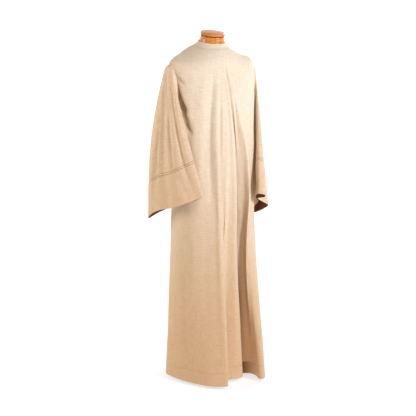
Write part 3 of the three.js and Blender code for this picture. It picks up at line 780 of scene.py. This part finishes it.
    def room_over_form(self, place: Array, v: Array) -> Array:
        """How far the cloth may still sink at each point before it would touch the form's torso.

        The torso lies inside the smooth section by FORM_WALL and FORM_CLEARANCE, and ends at TORSO_BOTTOM.

        Args:
            place: points of the drape.
            v: their ring numbers.

        Returns:
            Depths in millimetres, never less than least_room.
        """
        angle = np.arctan2(place[..., 0], -place[..., 1])
        sunk = self.reach(angle, v) - np.hypot(place[..., 0], place[..., 1])
        gap = FORM_WALL + form_gap(angle, v)
        below = smooth((TORSO_BOTTOM - self.torso_margin - place[..., 2]) / self.free_room)
        room = (gap - sunk - self.keep_clear) * smooth((v - 0.4) / 1.2) + self.free_room * below
        return np.maximum(room, self.least_room)

    def fold_relief(self, across: Array, down: Array) -> Array:
        """The folds' height off the drape, the same a whole turn further on."""
        turns = (-self.whole_turn, 0, self.whole_turn)
        return sum(fold.relief(across + turn, down) for fold in self.folds for turn in turns)

    def fold_shade(self, s: Array, v: Array) -> Array:
        """How deep each point lies in a fold, 0 to 1: less light is thrown back out of a deep one."""
        s, v = np.broadcast_arrays(np.asarray(s, float), np.asarray(v, float))
        place = self.drape(s, v)
        relief = self.fold_relief(self.top_angle(s) * self.arc_per_degree, NECK_Z - place[..., 2])
        return smooth((-relief - self.shallow) / self.deep)

    def armhole_open(self, v: Array) -> Array:
        """How open the armhole is at ring v: a half circle from the shoulder to the underarm."""
        t = (v - (SHOULDER_RING + UNDERARM_RING) / 2) / ((UNDERARM_RING - SHOULDER_RING) / 2)
        return np.sqrt(np.maximum(0, 1 - t * t))

    def armhole_edge(self, seam: Array, towards: Array, v: Array) -> Array:
        """The armhole's edge beside a side seam; towards is 1 for the edge at larger angles."""
        half = np.where(np.abs(seam + towards) < 90, self.armhole_front, self.armhole_back)
        return self.crease_at(seam + towards * half * self.armhole_open(v))

    def ring_at_height(self, z: Array) -> Array:
        """The ring number whose side lies at height z."""
        numbers = np.linspace(0, HEM_RING, 801)
        return np.interp(-z, -self.ring("side", numbers), numbers)


ARMHOLE_STEPS = 56  # rows of the panels along the armhole, each met by a column of the sleeve
SLEEVE_DRAW = math.radians(30)  # how far a sleeve's turns are drawn up the armhole


def armhole_level(turn: Array) -> Array:
    """The ring number that a turn of the sleeve meets: turns are drawn up towards the shoulder."""
    drawn = turn - SLEEVE_DRAW * np.sin(turn)
    return SHOULDER_RING + (UNDERARM_RING - SHOULDER_RING) * (1 - np.cos(drawn)) / 2


@dataclass(frozen=True)
class Panel:
    """One cut panel of the body between two seams, with its hem turned up inside.

    start and end number the creases at its seams. start_armhole and end_armhole are the angles of the seams
    that have an armhole, None for the others. cut is its flat size in metres and cut_area in square metres;
    neither is used.
    """

    name: str
    node: str
    start: int
    end: int
    start_armhole: float | None
    end_armhole: float | None
    columns: int
    cut: tuple[float, float]
    cut_area: float
    yoke_rows: int = 26
    skirt_rows: int = 176
    skirt_top: float = 1178.0
    seam_columns: tuple[float, ...] = (0.018, 0.04, 0.07)  # extra columns beside a seam, in creases from it
    stitch_rows: tuple[float, ...] = (-4, -1.6, 0, 1.6, 4)  # rows round the hem's stitches
    stitch_room: float = 5.0  # no other rows this near to them
    hem_depth: float = 57.0
    hem_gap: float = 1.3
    cloth: float = 0.7
    seam_width: float = 2.2
    seam_depth: float = 0.9
    seam_share: float = 0.1  # of seam_depth, for the sewn seams
    stitch_share: float = 0.4  # and for the hem's stitches
    # painted shade along the seams and stitches and in the deep folds, as shares of the darkest
    seam_painted_shade: float = 0.3
    fold_painted_shade: float = 0.65
    valley_spot: float = 12.9
    valley_width: float = 1.1
    valley_shade: float = 0.9  # painted shade: the turned-up hem darkened inside the deepest fold, where it lies in deep shadow

    def rows(self, body: Body) -> Array:
        """Ring numbers down the panel: met by the sleeve along the armhole, closer at the stitches."""
        yoke = np.linspace(0, SHOULDER_RING, self.yoke_rows, endpoint=False)
        arm = armhole_level(np.linspace(0, math.pi, ARMHOLE_STEPS + 1))
        stitch = HEM_Z + self.hem_depth
        even = np.linspace(self.skirt_top, HEM_Z, self.skirt_rows)
        even = even[np.abs(even - stitch) > self.stitch_room]
        heights = np.concatenate([even, stitch + np.array(self.stitch_rows)])
        return np.concatenate([yoke, arm, body.ring_at_height(np.sort(heights)[::-1])])

    def places(self, body: Body, v: Array) -> tuple[Array, Array]:
        """The s of each point, and its distance in s from the nearer side seam.

        Columns share out the creases evenly, with some closer to the seams. Beside an armhole the edge is
        curved in, and that shift fades with the cube of the way across.
        """
        span = self.end - self.start
        even = np.linspace(0, span, self.columns)
        near = np.array(self.seam_columns)
        marks = np.sort(np.concatenate([even, near, span - near]))
        u = marks / span
        shifts = []
        for seam, angle, towards in ((self.start, self.start_armhole, 1), (self.end, self.end_armhole, -1)):
            edge = np.full(v.shape, seam) if angle is None else body.armhole_edge(angle, towards, v)
            shifts.append((edge - seam)[:, None])
        s = self.start + marks + shifts[0] * (1 - u) ** 3 + shifts[1] * u**3
        return s, np.minimum(marks, span - marks)

    def build(self, body: Body, linen: Material) -> Piece:
        """Makes the panel: its outer face, the fold at the hem and the turned-up hem inside.

        Args:
            body: the draped surface that the panel follows.
            linen: the cloth's material.

        Returns:
            The finished piece.
        """
        v = self.rows(body)
        s, near = self.places(body, v)
        points = body.point(s, v[:, None])
        normals = grid_normals(points, False)
        crease_width = np.linalg.norm(points[:, 1] - points[:, 0], axis=-1) / self.seam_columns[0]
        seam = bell(near[None, :] * np.maximum(crease_width, 1)[:, None], self.seam_width)
        skirt = v > UNDERARM_RING
        stitch = bell(points[..., 2] - HEM_Z - self.hem_depth, self.seam_width) * skirt[:, None]
        groove_and_painted_shade = np.maximum(self.seam_share * seam, self.stitch_share * stitch)
        points = points - normals * (self.seam_depth * groove_and_painted_shade)[..., None]
        # painted shade: the seams and stitches, the deep folds and the turned-up hem inside the deepest fold
        # are darkened
        turned_up = smooth((HEM_Z + self.hem_depth - points[..., 2]) / 4)
        shaded = self.valley_shade * bell(s - self.valley_spot, self.valley_width) * turned_up
        painted_fold_shade = self.fold_painted_shade * body.fold_shade(s, v[:, None])
        groove_and_painted_shade = np.maximum(groove_and_painted_shade * self.seam_painted_shade, np.maximum(shaded, painted_fold_shade))
        turns = np.linspace(0, math.pi, 5)[1:]
        down = np.array([0.0, 0.0, -1.0])
        fold = turned_edge(points[-1], normals[-1], down, self.hem_gap / 2, turns)
        hem_rows = np.nonzero((points[:, 0, 2] < HEM_Z + self.hem_depth + 1) & skirt)[0]
        inside = [points[k] - normals[k] * self.hem_gap for k in hem_rows[-2::-1]]
        whole = np.concatenate([points, fold, inside])
        shade = np.zeros(whole.shape[:2])
        shade[:len(points)] = groove_and_painted_shade
        piece = grid_piece(self.name, whole, False, shade)
        thicken(piece, self.cloth)
        finish_piece(piece, linen, "cloth", self.node)
        return piece


@dataclass(frozen=True)
class Collar:
    """The doubled collar band, a low funnel that leans forward with the neck."""

    profile: tuple[tuple[float, float], ...] = (
        (76.1, 0.1), (71.9, 3.0), (67.5, 7.5), (64.2, 11.5), (61.8, 14.5), (60.1, 17.4), (58.8, 20.0))
    columns: int = 160
    fold: float = 0.9
    cloth: float = 0.7
    cut: tuple[float, float] = (0.48, 0.052)

    def ring(self, radius: Array, rise: Array) -> Array:
        """Rings about the leaning axis, on the slope of the neck seam.

        Args:
            radius: each ring's radius.
            rise: each ring's height above the neck seam, along the leaning axis.

        Returns:
            Rows by columns of points.
        """
        angle = np.arange(self.columns) / self.columns * TAU
        radius, rise = radius[:, None], rise[:, None]
        x = radius * np.sin(angle)
        y = -radius * np.cos(angle)
        z = NECK_Z + y * math.tan(NECK_LEAN) + 0 * angle
        return np.stack([x, y - rise * math.sin(NECK_LEAN), z + rise * math.cos(NECK_LEAN)], -1)

    def build(self, linen: Material) -> Piece:
        """Makes the band: up outside from the seam, over a rounded top edge and down inside."""
        radii, rises = np.array(self.profile).T
        fine = np.linspace(0, len(radii) - 1, 19)
        radius, rise = through(radii, fine), through(rises, fine)
        turns = np.linspace(0, math.pi, 7)[1:-1]
        over_radius = radius[-1] - self.fold * (1 - np.cos(turns))
        over_rise = rise[-1] + self.fold * np.sin(turns)
        inner_radius, inner_rise = radius[::-1] - 2 * self.fold, rise[::-1]
        radius = np.concatenate([radius, over_radius, inner_radius])
        rise = np.concatenate([rise, over_rise, inner_rise])
        points = self.ring(radius, rise)[::-1, ::-1]
        piece = grid_piece("alb_collar", points, True, np.zeros(points.shape[:2]))
        thicken(piece, self.cloth)
        finish_piece(piece, linen, "cloth", "collar_band")
        return piece


# The sleeves

MouthPoint = tuple[float, float, float]


@dataclass(frozen=True)
class Sleeve:
    """A bell sleeve that hangs empty, with its doubled cuff.

    The mouth is a flattened loop of sixteen points, from the middle of the outer layer to the front corner,
    back along the body to the back corner, and round again. stand is how far it leaves the armhole before it
    falls, crown how far its outer layer swells, and swell_front and swell_back how far its two edges swell.
    """

    side: Side
    stand: float
    crown: float
    swell_front: float
    swell_back: float
    mouth: tuple[MouthPoint, ...]
    cut: tuple[float, float] = (0.58, 0.47)
    cut_area: float = 0.145
    cuff_cut: tuple[float, float] = (0.67, 0.3)
    folds: tuple[SoftFold, ...] = ()
    clear: float = 4.0  # room kept between the sleeve and the body
    ease: float = 6.0  # how gently it is pushed out to that
    cuff_depth: float = 150.0
    cuff_proud: float = 0.9
    cuff_fold: float = 1.0
    rows: int = 150
    cuff_rows: int = 30
    cloth: float = 0.7
    stitch_from_seam: float = 8.0
    seam_rows: tuple[float, ...] = (11, 9.8, 9, 8.4, 8, 7.6, 7, 6.2, 4.5, 2.5, 1, 0)
    even_to: float = 14.0  # how far above the cuff's seam the even rows end and those rows begin
    even_from: float = 0.012  # and the share of the way down where they begin
    inside_shade: float = 1.0

    @property
    def word(self) -> str:
        """The side's name as the pieces spell it."""
        return self.side.name.lower()

    def armhole_point(self, body: Body, turn: Array) -> Array:
        """The armhole's edge, read round from the shoulder over the front, the underarm and the back."""
        turn = np.mod(turn, TAU)
        over_front = turn <= math.pi
        left = self.side is Side.LEFT
        seam = np.full(turn.shape, 90.0) if left else np.where(over_front, -90.0, 270.0)
        towards = np.where(over_front, -self.side.value, self.side.value)
        v = armhole_level(turn)
        return body.point(body.armhole_edge(seam, towards, v), v)

    def mouth_point(self, turn: Array) -> Array:
        """The mouth: a closed smooth curve through its sixteen points."""
        mouth = np.array(self.mouth)
        count = len(mouth)
        at = turn / TAU * count
        i = np.floor(at).astype(int)
        a, b, c, d = (mouth[(i + k) % count] for k in (-1, 0, 1, 2))
        return hermite(b, c, (c - a) / 2, (d - b) / 2, (at - i)[..., None])

    def clear_of_body(self, body: Body, p: Array, share: Array) -> Array:
        """Eases points out along their radius, so that they keep clear of the body below the underarm."""
        v = body.ring_at_height(p[..., 2])
        reach = np.hypot(p[..., 0], p[..., 1])
        least = body.reach(np.arctan2(p[..., 0], -p[..., 1]), v) + self.clear
        over = reach - least
        near = np.minimum(over, 4 * self.ease) / self.ease
        eased = np.where(over > 4 * self.ease, over, self.ease * np.log1p(np.exp(near)))
        scale = 1 + ((least + eased) / reach - 1) * share
        return p * np.stack([scale, scale, np.ones_like(scale)], -1)

    def hang(self, body: Body, turn: Array, share: Array) -> Array:
        """A point of the sleeve before its small creases: share 0 is the armhole and 1 the mouth."""
        turn, share = np.broadcast_arrays(np.asarray(turn, float), np.asarray(share, float))
        outside, along = np.maximum(0, np.cos(turn)), np.sin(turn)
        sign = self.side.value
        push = np.stack([np.full(turn.shape, sign * self.stand), np.zeros(turn.shape), -3 * outside], -1)
        start = self.armhole_point(body, turn) + push
        p = start + (self.mouth_point(turn) - start) * share[..., None]
        edge = np.where(along > 0, self.swell_front * along, -self.swell_back * along)
        down = np.clip(share, 0, 1)
        swell = edge * np.sin(np.pi * down**0.8) + self.crown * outside * np.sin(np.pi * down**0.85)
        p = p + np.stack([sign * swell, np.zeros(turn.shape), np.zeros(turn.shape)], -1)
        return self.clear_of_body(body, p, smooth(share / 0.04))

    def point(self, body: Body, turn: Array, share: Array) -> Array:
        """The finished outer face: the hanging sleeve moved along its normals by the small creases.

        Args:
            body: the surface that the sleeve is sewn to and hangs clear of.
            turn: angle round the sleeve.
            share: share of the way down.

        Returns:
            The points.
        """
        turn, share = np.broadcast_arrays(np.asarray(turn, float), np.asarray(share, float))
        step = 0.02
        across = self.hang(body, turn + step, share) - self.hang(body, turn - step, share)
        down = self.hang(body, turn, share + 0.004) - self.hang(body, turn, share - 0.004)
        normal = unit(np.cross(down, across)) * -self.side.value
        angle, turns = np.degrees(turn), (-360, 0, 360)
        relief = sum(fold.relief(angle + k, share * 100) for fold in self.folds for k in turns)
        relief = relief * smooth(share / 0.1)
        return self.hang(body, turn, share) + normal * relief[..., None]

    def turns(self) -> Array:
        """The angles of the columns, one to each row of the panels along the armhole."""
        return np.arange(2 * ARMHOLE_STEPS) / (2 * ARMHOLE_STEPS) * TAU

    def cuff_share(self, body: Body, turn: Array) -> Array:
        """The share of the way down at which the cuff begins: a fixed depth above the mouth."""
        drop = np.linalg.norm(self.armhole_point(body, turn) - self.mouth_point(turn), axis=-1)
        return 1 - self.cuff_depth / drop

    def outward(self, points: Array) -> Array:
        """Columns in the order that makes the faces point outwards."""
        return points[:, ::-1] if self.side is Side.LEFT else points

    def build_sleeve(self, body: Body, linen: Material) -> Piece:
        """Makes the tube from the armhole down to the cuff's seam."""
        turn = self.turns()
        cuff = self.cuff_share(body, turn)
        drop = self.cuff_depth / (1 - cuff)
        near_seam = np.array(self.seam_rows)[:, None] / drop
        part = np.linspace(0, 1, self.rows)[:, None] ** 1.1
        even = self.even_from + (cuff - self.even_to / drop - self.even_from) * part
        share = np.concatenate([even, cuff - near_seam])
        points = self.point(body, turn[None, :], share)
        edge = self.armhole_point(body, turn)
        first = edge + 0.55 * (points[0] - edge)
        points = np.concatenate([edge[None], first[None], points])
        from_seam = np.concatenate([np.full((2, len(turn)), 400.0), (cuff - share) * drop])
        stitch = bell(from_seam - self.stitch_from_seam, 1.0)
        seam = np.concatenate([bell(np.array([0.0, 3.0]), 2.5)[:, None] * np.ones((1, len(turn))),
                               np.zeros(share.shape)])
        # painted shade: the stitches above the cuff and the armhole seam are also darkened
        groove_and_painted_shade = np.maximum(0.7 * stitch, 0.25 * seam)
        points = self.outward(points)
        groove_and_painted_shade = self.outward(groove_and_painted_shade)
        points = points - grid_normals(points, True) * (0.8 * groove_and_painted_shade)[..., None]
        piece = grid_piece(f"alb_sleeve_{self.word}", points, True, groove_and_painted_shade)
        thicken(piece, self.cloth)
        finish_piece(piece, linen, "cloth", f"sleeve_{self.word}")
        return piece

    def build_cuff(self, body: Body, linen: Material) -> Piece:
        """Makes the doubled band: down outside from the seam, round the mouth and up inside."""
        turn = self.turns()
        cuff = self.cuff_share(body, turn)
        depth = np.concatenate([[0, 0.8, 2, 4], np.linspace(8, self.cuff_depth, self.cuff_rows)])
        part = depth / self.cuff_depth
        share = cuff + (1 - cuff) * part[:, None]
        points = self.point(body, turn[None, :], share)
        points = self.outward(points)
        normals = grid_normals(points, True)
        proud = self.cuff_proud * smooth(depth / 3)
        outer = points + normals * proud[:, None, None]
        down = unit(outer[-1] - outer[-2])
        bends = np.linspace(0, math.pi, 6)[1:-1]
        radius = self.cuff_fold
        fold = turned_edge(outer[-1], normals[-1], down, radius, bends)
        inner = (outer - normals * 2 * radius)[::-1][:-3]
        whole = np.concatenate([outer, fold, inner])
        shade = np.zeros(whole.shape[:2])
        # painted shade: along the seam at the cuff's top and over its whole inside
        shade[:len(depth)] = bell(depth, 1.5)[:, None]
        shade[len(depth) + len(fold) // 2:] = self.inside_shade
        piece = grid_piece(f"alb_cuff_{self.word}", whole, True, shade)
        thicken(piece, self.cloth)
        finish_piece(piece, linen, "cloth", f"cuff_{self.word}")
        return piece


# The dress form


@dataclass(frozen=True)
class Turned:
    """A solid turned on a lathe about its own upright axis, from rounded (radius, height) corners."""

    name: str
    node: str
    slot: str
    outline: tuple[tuple[float, float], ...]
    gap_shade_rise: float | None = None
    gap_shade_width: float = 2.6
    columns: int = 96

    def profile(self) -> Array:
        """The outline with four points to each stretch, close to its corners."""
        corners = np.array(self.outline, float)
        near = np.array([0.0, 0.03, 0.5, 0.97])
        a, b = corners[:-1, None], corners[1:, None]
        points = a + (b - a) * near[None, :, None]
        return np.concatenate([points.reshape(-1, 2), corners[-1:]])

    def build(self, material: Material, base: float, lean: float = 0.0) -> Piece:
        """Makes the solid.

        Args:
            material: its finish.
            base: height of its underside on the upright axis.
            lean: angle it leans forward by, in radians, about the foot of the neck.

        Returns:
            The finished piece.
        """
        radius, rise = self.profile()[::-1].T
        angle = np.arange(self.columns) / self.columns * TAU
        x = radius[:, None] * np.sin(angle)
        y = -radius[:, None] * np.cos(angle)
        z = rise[:, None] + 0 * angle
        foot = NECK_FOOT_Z if lean else 0.0
        z = z + base - foot
        y, z = y * math.cos(lean) - z * math.sin(lean), y * math.sin(lean) + z * math.cos(lean)
        points = np.stack([x, y, z + foot], -1)
        # painted shade: a dark band at the height where the cap meets the block
        painted_gap_shade = np.zeros(points.shape[:2])
        if self.gap_shade_rise is not None:
            painted_gap_shade += bell(rise - self.gap_shade_rise, self.gap_shade_width)[:, None]
        piece = grid_piece(self.name, points, True, painted_gap_shade, close=True)
        finish_piece(piece, material, self.slot, self.node)
        return piece


JOINT_GAP = 0.3  # air between the form's parts
NECK_FOOT_Z = TORSO_TOP + JOINT_GAP
BLOCK_OUTLINE = ((0, 0), (55.4, 0), (55.4, 21), (53.8, 24), (52.3, 31), (51.4, 39), (51.4, 43), (51.4, 46),
                 (51.0, 47.6), (50.2, 48.6), (44, 49), (44, 50.6), (0, 50.6))
CAP_OUTLINE = ((0, 0), (51.3, 0), (52.8, 1.5), (52.8, 10), (49.8, 13), (34.8, 15.1), (17.4, 15.9), (0, 16))
CAP_RISE = BLOCK_OUTLINE[-1][1] + JOINT_GAP


@dataclass(frozen=True)
class Torso:
    """The form's torso: the smooth body drawn in, closest to the cloth along the shoulder ridge."""

    rows: int = 90
    columns: int = 144

    def build(self, body: Body, jersey: Material) -> Piece:
        """Makes the torso as rings from its sloping top to its level bottom.

        Each point lies inside the smooth section by the cloth's wall and a clearance, along its normal.
        """
        v = np.linspace(0, len(FORM_CLEARANCE) - 1, self.rows)[:, None]
        angle = (np.arange(self.columns) / self.columns * TAU)[None, :] - math.pi / 2
        reach = body.reach(angle, v)
        points = np.stack([reach * np.sin(angle), -reach * np.cos(angle), body.height(angle, v)], -1)
        normals = grid_normals(points, True)
        points = points - normals * (FORM_WALL + form_gap(angle, v))[..., None]
        points[0, :, 2] = TORSO_TOP + points[0, :, 1] * math.tan(NECK_LEAN)
        points[-1, :, 2] = TORSO_BOTTOM
        piece = grid_piece("form_torso_cover", points, True, close=True)
        finish_piece(piece, jersey, "form", "form_torso")
        return piece


@dataclass(frozen=True)
class DressForm:
    """The limbless form: torso, turned neck and cap, pole and round base."""

    torso: Torso = Torso()
    pole_radius: float = 16.0
    base_radius: float = 116.0
    base_height: float = 12.0

    def build(self, body: Body) -> None:
        """Makes and dresses every part of the form."""
        wood, metal = TurnedWood().material(), PowderCoat().material()
        self.torso.build(body, StretchedJersey().material())
        block = Turned("form_neck_wood", "form_neck_block", "wood", BLOCK_OUTLINE, gap_shade_rise=50)
        block.build(wood, NECK_FOOT_Z, NECK_LEAN)
        cap = Turned("form_cap_wood", "form_neck_cap", "wood", CAP_OUTLINE, gap_shade_rise=0, gap_shade_width=1.6)
        cap.build(wood, NECK_FOOT_Z + CAP_RISE, NECK_LEAN)
        r, h = self.base_radius, self.base_height
        foot = h + JOINT_GAP
        length = TORSO_BOTTOM - JOINT_GAP - foot
        pole = ((0, 0), (self.pole_radius, 0), (self.pole_radius, length), (0, length))
        Turned("stand_pole", "form_pole", "metal", pole).build(metal, foot)
        disc = ((0, 0), (r, 0), (r - 2, h - 1), (r - 3, h), (0, h))
        Turned("stand_base", "form_base", "metal", disc).build(metal, 0)


# The studio


@dataclass(frozen=True)
class Lamp:
    """A square area light: where it stands and the point it is aimed at, and its side, are in metres."""

    name: str
    place: tuple[float, float, float]
    watts: float
    size: float
    colour: str
    target: tuple[float, float, float]

    def build(self) -> None:
        """Adds the light to the scene, turned to its target."""
        data = bpy.data.lights.new(self.name, "AREA")
        data.energy, data.size = self.watts, self.size
        data.color = linear(self.colour)[:3]
        light = bpy.data.objects.new(self.name, data)
        light.location = self.place
        aim = np.array(self.target) - np.array(self.place)
        yaw, flat = math.atan2(aim[0], -aim[1]), math.hypot(aim[0], aim[1])
        light.rotation_euler = (math.atan2(flat, -aim[2]), 0, yaw + math.pi)
        bpy.context.scene.collection.objects.link(light)


LAMPS = (
    Lamp("key", (1.05, -2.8, 2.3), 104, 0.4, "e6edff", (0.0, 0.0, 0.8)),
    Lamp("fill", (-2.2, -2.9, 2.4), 28, 1.6, "ffc698", (-0.2, 0.0, 1.1)),
    Lamp("backdrop_right", (3.2, 1.6, 2.6), 110, 2.0, "ffffff", (0.6, 3.6, 0.8)),
    Lamp("backdrop_left", (-3.2, 1.6, 2.6), 110, 2.0, "ffffff", (1.6, 3.6, 0.8)),
)


@dataclass(frozen=True)
class Studio:
    """A pale floor and backdrop, the lamps, and the camera at the photograph's angle."""

    camera_mm: tuple[float, float, float] = (-2385.0, -3816.0, 1720.0)
    camera_azimuth: float = -32.0
    camera_pitch: float = 11.87
    sensor_mm: float = 36.0
    focal_px: float = 1034.0
    frame_px: float = 416.0
    axis_px: float = 211.5  # image x of the form's upright axis
    sweep_m: float = 1.6  # radius of the bend from floor to backdrop
    near_m: float = -7.0
    far_m: float = 2.6  # where the bend begins
    top_m: float = 7.0
    half_m: float = 9.0  # half the floor's width
    floor_colour: str = "a8a8a8"
    floor_glow: float = 0.7
    surround: str = "ffc088"
    surround_strength: float = 0.06

    def build(self) -> None:
        """Places the camera, the floor, the world and the lamps."""
        data = bpy.data.cameras.new("camera")
        data.sensor_width = self.sensor_mm
        data.lens = self.focal_px / self.frame_px * self.sensor_mm
        data.shift_x = (self.frame_px / 2 - self.axis_px) / self.frame_px
        camera = bpy.data.objects.new("camera", data)
        camera.location = tuple(c * MM for c in self.camera_mm)
        camera.rotation_euler = (math.radians(90 - self.camera_pitch), 0, math.radians(self.camera_azimuth))
        bpy.context.scene.collection.objects.link(camera)
        bpy.context.scene.camera = camera
        self.floor()
        self.world()
        for lamp in LAMPS:
            lamp.build()

    def floor(self) -> None:
        """A level floor that sweeps up into a backdrop, away from the camera, on a quarter circle."""
        bend = np.linspace(0, math.pi / 2, 24)
        far, radius = self.far_m, self.sweep_m
        depth = np.concatenate([[self.near_m], far + radius * np.sin(bend), [far + radius]])
        rise = np.concatenate([[0.0], radius * (1 - np.cos(bend)), [self.top_m]])
        across = np.array([-self.half_m, self.half_m])
        azimuth = math.radians(self.camera_azimuth)
        x = across[None, :] * math.cos(azimuth) - depth[:, None] * math.sin(azimuth)
        y = across[None, :] * math.sin(azimuth) + depth[:, None] * math.cos(azimuth)
        points = np.stack([x, y, rise[:, None] + 0 * x], -1)[::-1] / MM
        floor = grid_piece("floor", points, False)
        material, tree = new_material("painted_studio_floor")
        surface(tree, {"Base Color": linear(self.floor_colour), "Roughness": 0.9,
                       "Emission Color": linear("ffffff"), "Emission Strength": self.floor_glow})
        floor.data.materials.append(material)

    def world(self) -> None:
        """A faint warm surround, and colours shown as they are."""
        world = bpy.data.worlds.new("studio")
        world.use_nodes = True
        background = world.node_tree.nodes["Background"]
        background.inputs["Color"].default_value = linear(self.surround)
        background.inputs["Strength"].default_value = self.surround_strength
        scene = bpy.context.scene
        scene.world = world
        scene.view_settings.view_transform = "Standard"
        scene.view_settings.look = "None"


# Across is degrees round the sleeve from the middle of its outer layer, along is hundredths of its length.
RIGHT_SLEEVE_FOLDS = (
    SoftFold((66, 1), (88, 110), 9, 5.5, bow=-8.0),  # the rounded front edge, which catches the light
    SoftFold((46, 6), (71, 108), 7, -5.0, bow=-6.0),
    SoftFold((338, 1), (304, 84), 6, 4.5),
    SoftFold((307, 46), (310, 92), 4, 3.2),
    SoftFold((347, 18), (343, 92), 8, -5.5),
    SoftFold((329, 26), (322, 88), 6, -4.0),
    SoftFold((2, 26), (4, 88), 7, 5.0),
    SoftFold((15, 30), (22, 86), 7, -5.5),
    SoftFold((36, 24), (40, 84), 8, 2.2),
    SoftFold((54, 28), (60, 90), 6, -2.4),
    SoftFold((14, 74), (50, 104), 6, 2.8),
    SoftFold((25, 74), (62, 103), 6, -2.8),
    SoftFold((338, 76), (333, 112), 8, 3.0),
    SoftFold((353, 76), (358, 114), 7, -3.0),
    SoftFold((316, 80), (318, 114), 6, -2.4),
    SoftFold((286, 24), (282, 90), 7, 3.0),
    SoftFold((262, 18), (268, 88), 7, -3.0),
    SoftFold((232, 30), (226, 92), 8, -2.6),
    SoftFold((196, 34), (190, 88), 9, -2.4),
    SoftFold((150, 30), (146, 90), 8, -2.4),
)
LEFT_SLEEVE_FOLDS = (
    SoftFold((350, 12), (342, 90), 8, -3.8),
    SoftFold((12, 18), (18, 88), 7, 3.2),
    SoftFold((36, 20), (43, 90), 7, -3.2),
    SoftFold((60, 18), (66, 84), 6, 2.2),
    SoftFold((324, 28), (318, 90), 7, 2.8),
    SoftFold((300, 22), (304, 88), 8, -3.2),
    SoftFold((280, 30), (284, 92), 6, 2.2),
    SoftFold((6, 74), (354, 114), 7, -2.8),
    SoftFold((332, 76), (340, 112), 7, 2.6),
    SoftFold((258, 26), (252, 88), 7, -2.6),
    SoftFold((204, 30), (198, 90), 9, -2.4),
    SoftFold((156, 26), (150, 88), 8, -2.4),
)
SLEEVES = (
    Sleeve(Side.RIGHT, stand=14, crown=8, swell_front=4, swell_back=27, folds=RIGHT_SLEEVE_FOLDS, mouth=(
        (-230, -28, 803), (-218, -64, 816), (-192, -99, 833), (-160, -127, 850),
        (-132, -144, 862), (-133, -129, 856), (-157, -106, 842), (-186, -65, 827),
        (-198, -14, 810), (-210, 30, 790), (-227, 72, 768), (-242, 104, 747),
        (-252, 117, 737), (-262, 106, 745), (-259, 66, 771), (-243, 18, 792))),
    Sleeve(Side.LEFT, stand=3, crown=9, swell_front=8, swell_back=14, folds=LEFT_SLEEVE_FOLDS, mouth=(
        (245, -88, 778), (195, -118, 803), (149, -145, 828), (165, -171, 836),
        (159, -184, 849), (131, -175, 855), (136, -146, 838), (182, -97, 803),
        (208, -38, 774), (224, -2, 752), (240, 24, 733), (252, 38, 722),
        (262, 44, 718), (270, 32, 723), (275, 6, 735), (268, -40, 757))),
)


def main() -> None:
    """Builds the studio, the alb and the form, and logs each piece."""
    logging.basicConfig(level=logging.INFO, format="%(name)s: %(message)s")
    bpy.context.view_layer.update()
    Studio().build()
    linen = WovenLinen().material()
    # painted shade: the sleeves' copy of the linen is darker and tanner, as they hang turned away from the
    # key light
    shaded_sleeve_linen = WovenLinen("washed_linen_sleeves_painted_shade", "ebd7bb", "e2caa9", "d4b690").material()
    body = Body()
    turn_over = RIGHT_SEAM + len(CREASES)
    for panel in (
        Panel("alb_front", "front_panel", RIGHT_SEAM, LEFT_SEAM, -90, 90, 160, (0.84, 1.53), 1.0),
        Panel("alb_back_left", "back_panel_left", LEFT_SEAM, BACK_SEAM, 90, None, 82, (0.41, 1.57), 0.46),
        Panel("alb_back_right", "back_panel_right", BACK_SEAM, turn_over, None, 270, 82, (0.35, 1.57), 0.43),
    ):
        panel.build(body, linen)
    Collar().build(linen)
    for sleeve in SLEEVES:
        sleeve.build_sleeve(body, shaded_sleeve_linen)
        sleeve.build_cuff(body, shaded_sleeve_linen)
    DressForm().build(body)


if __name__ == "__main__":
    main()
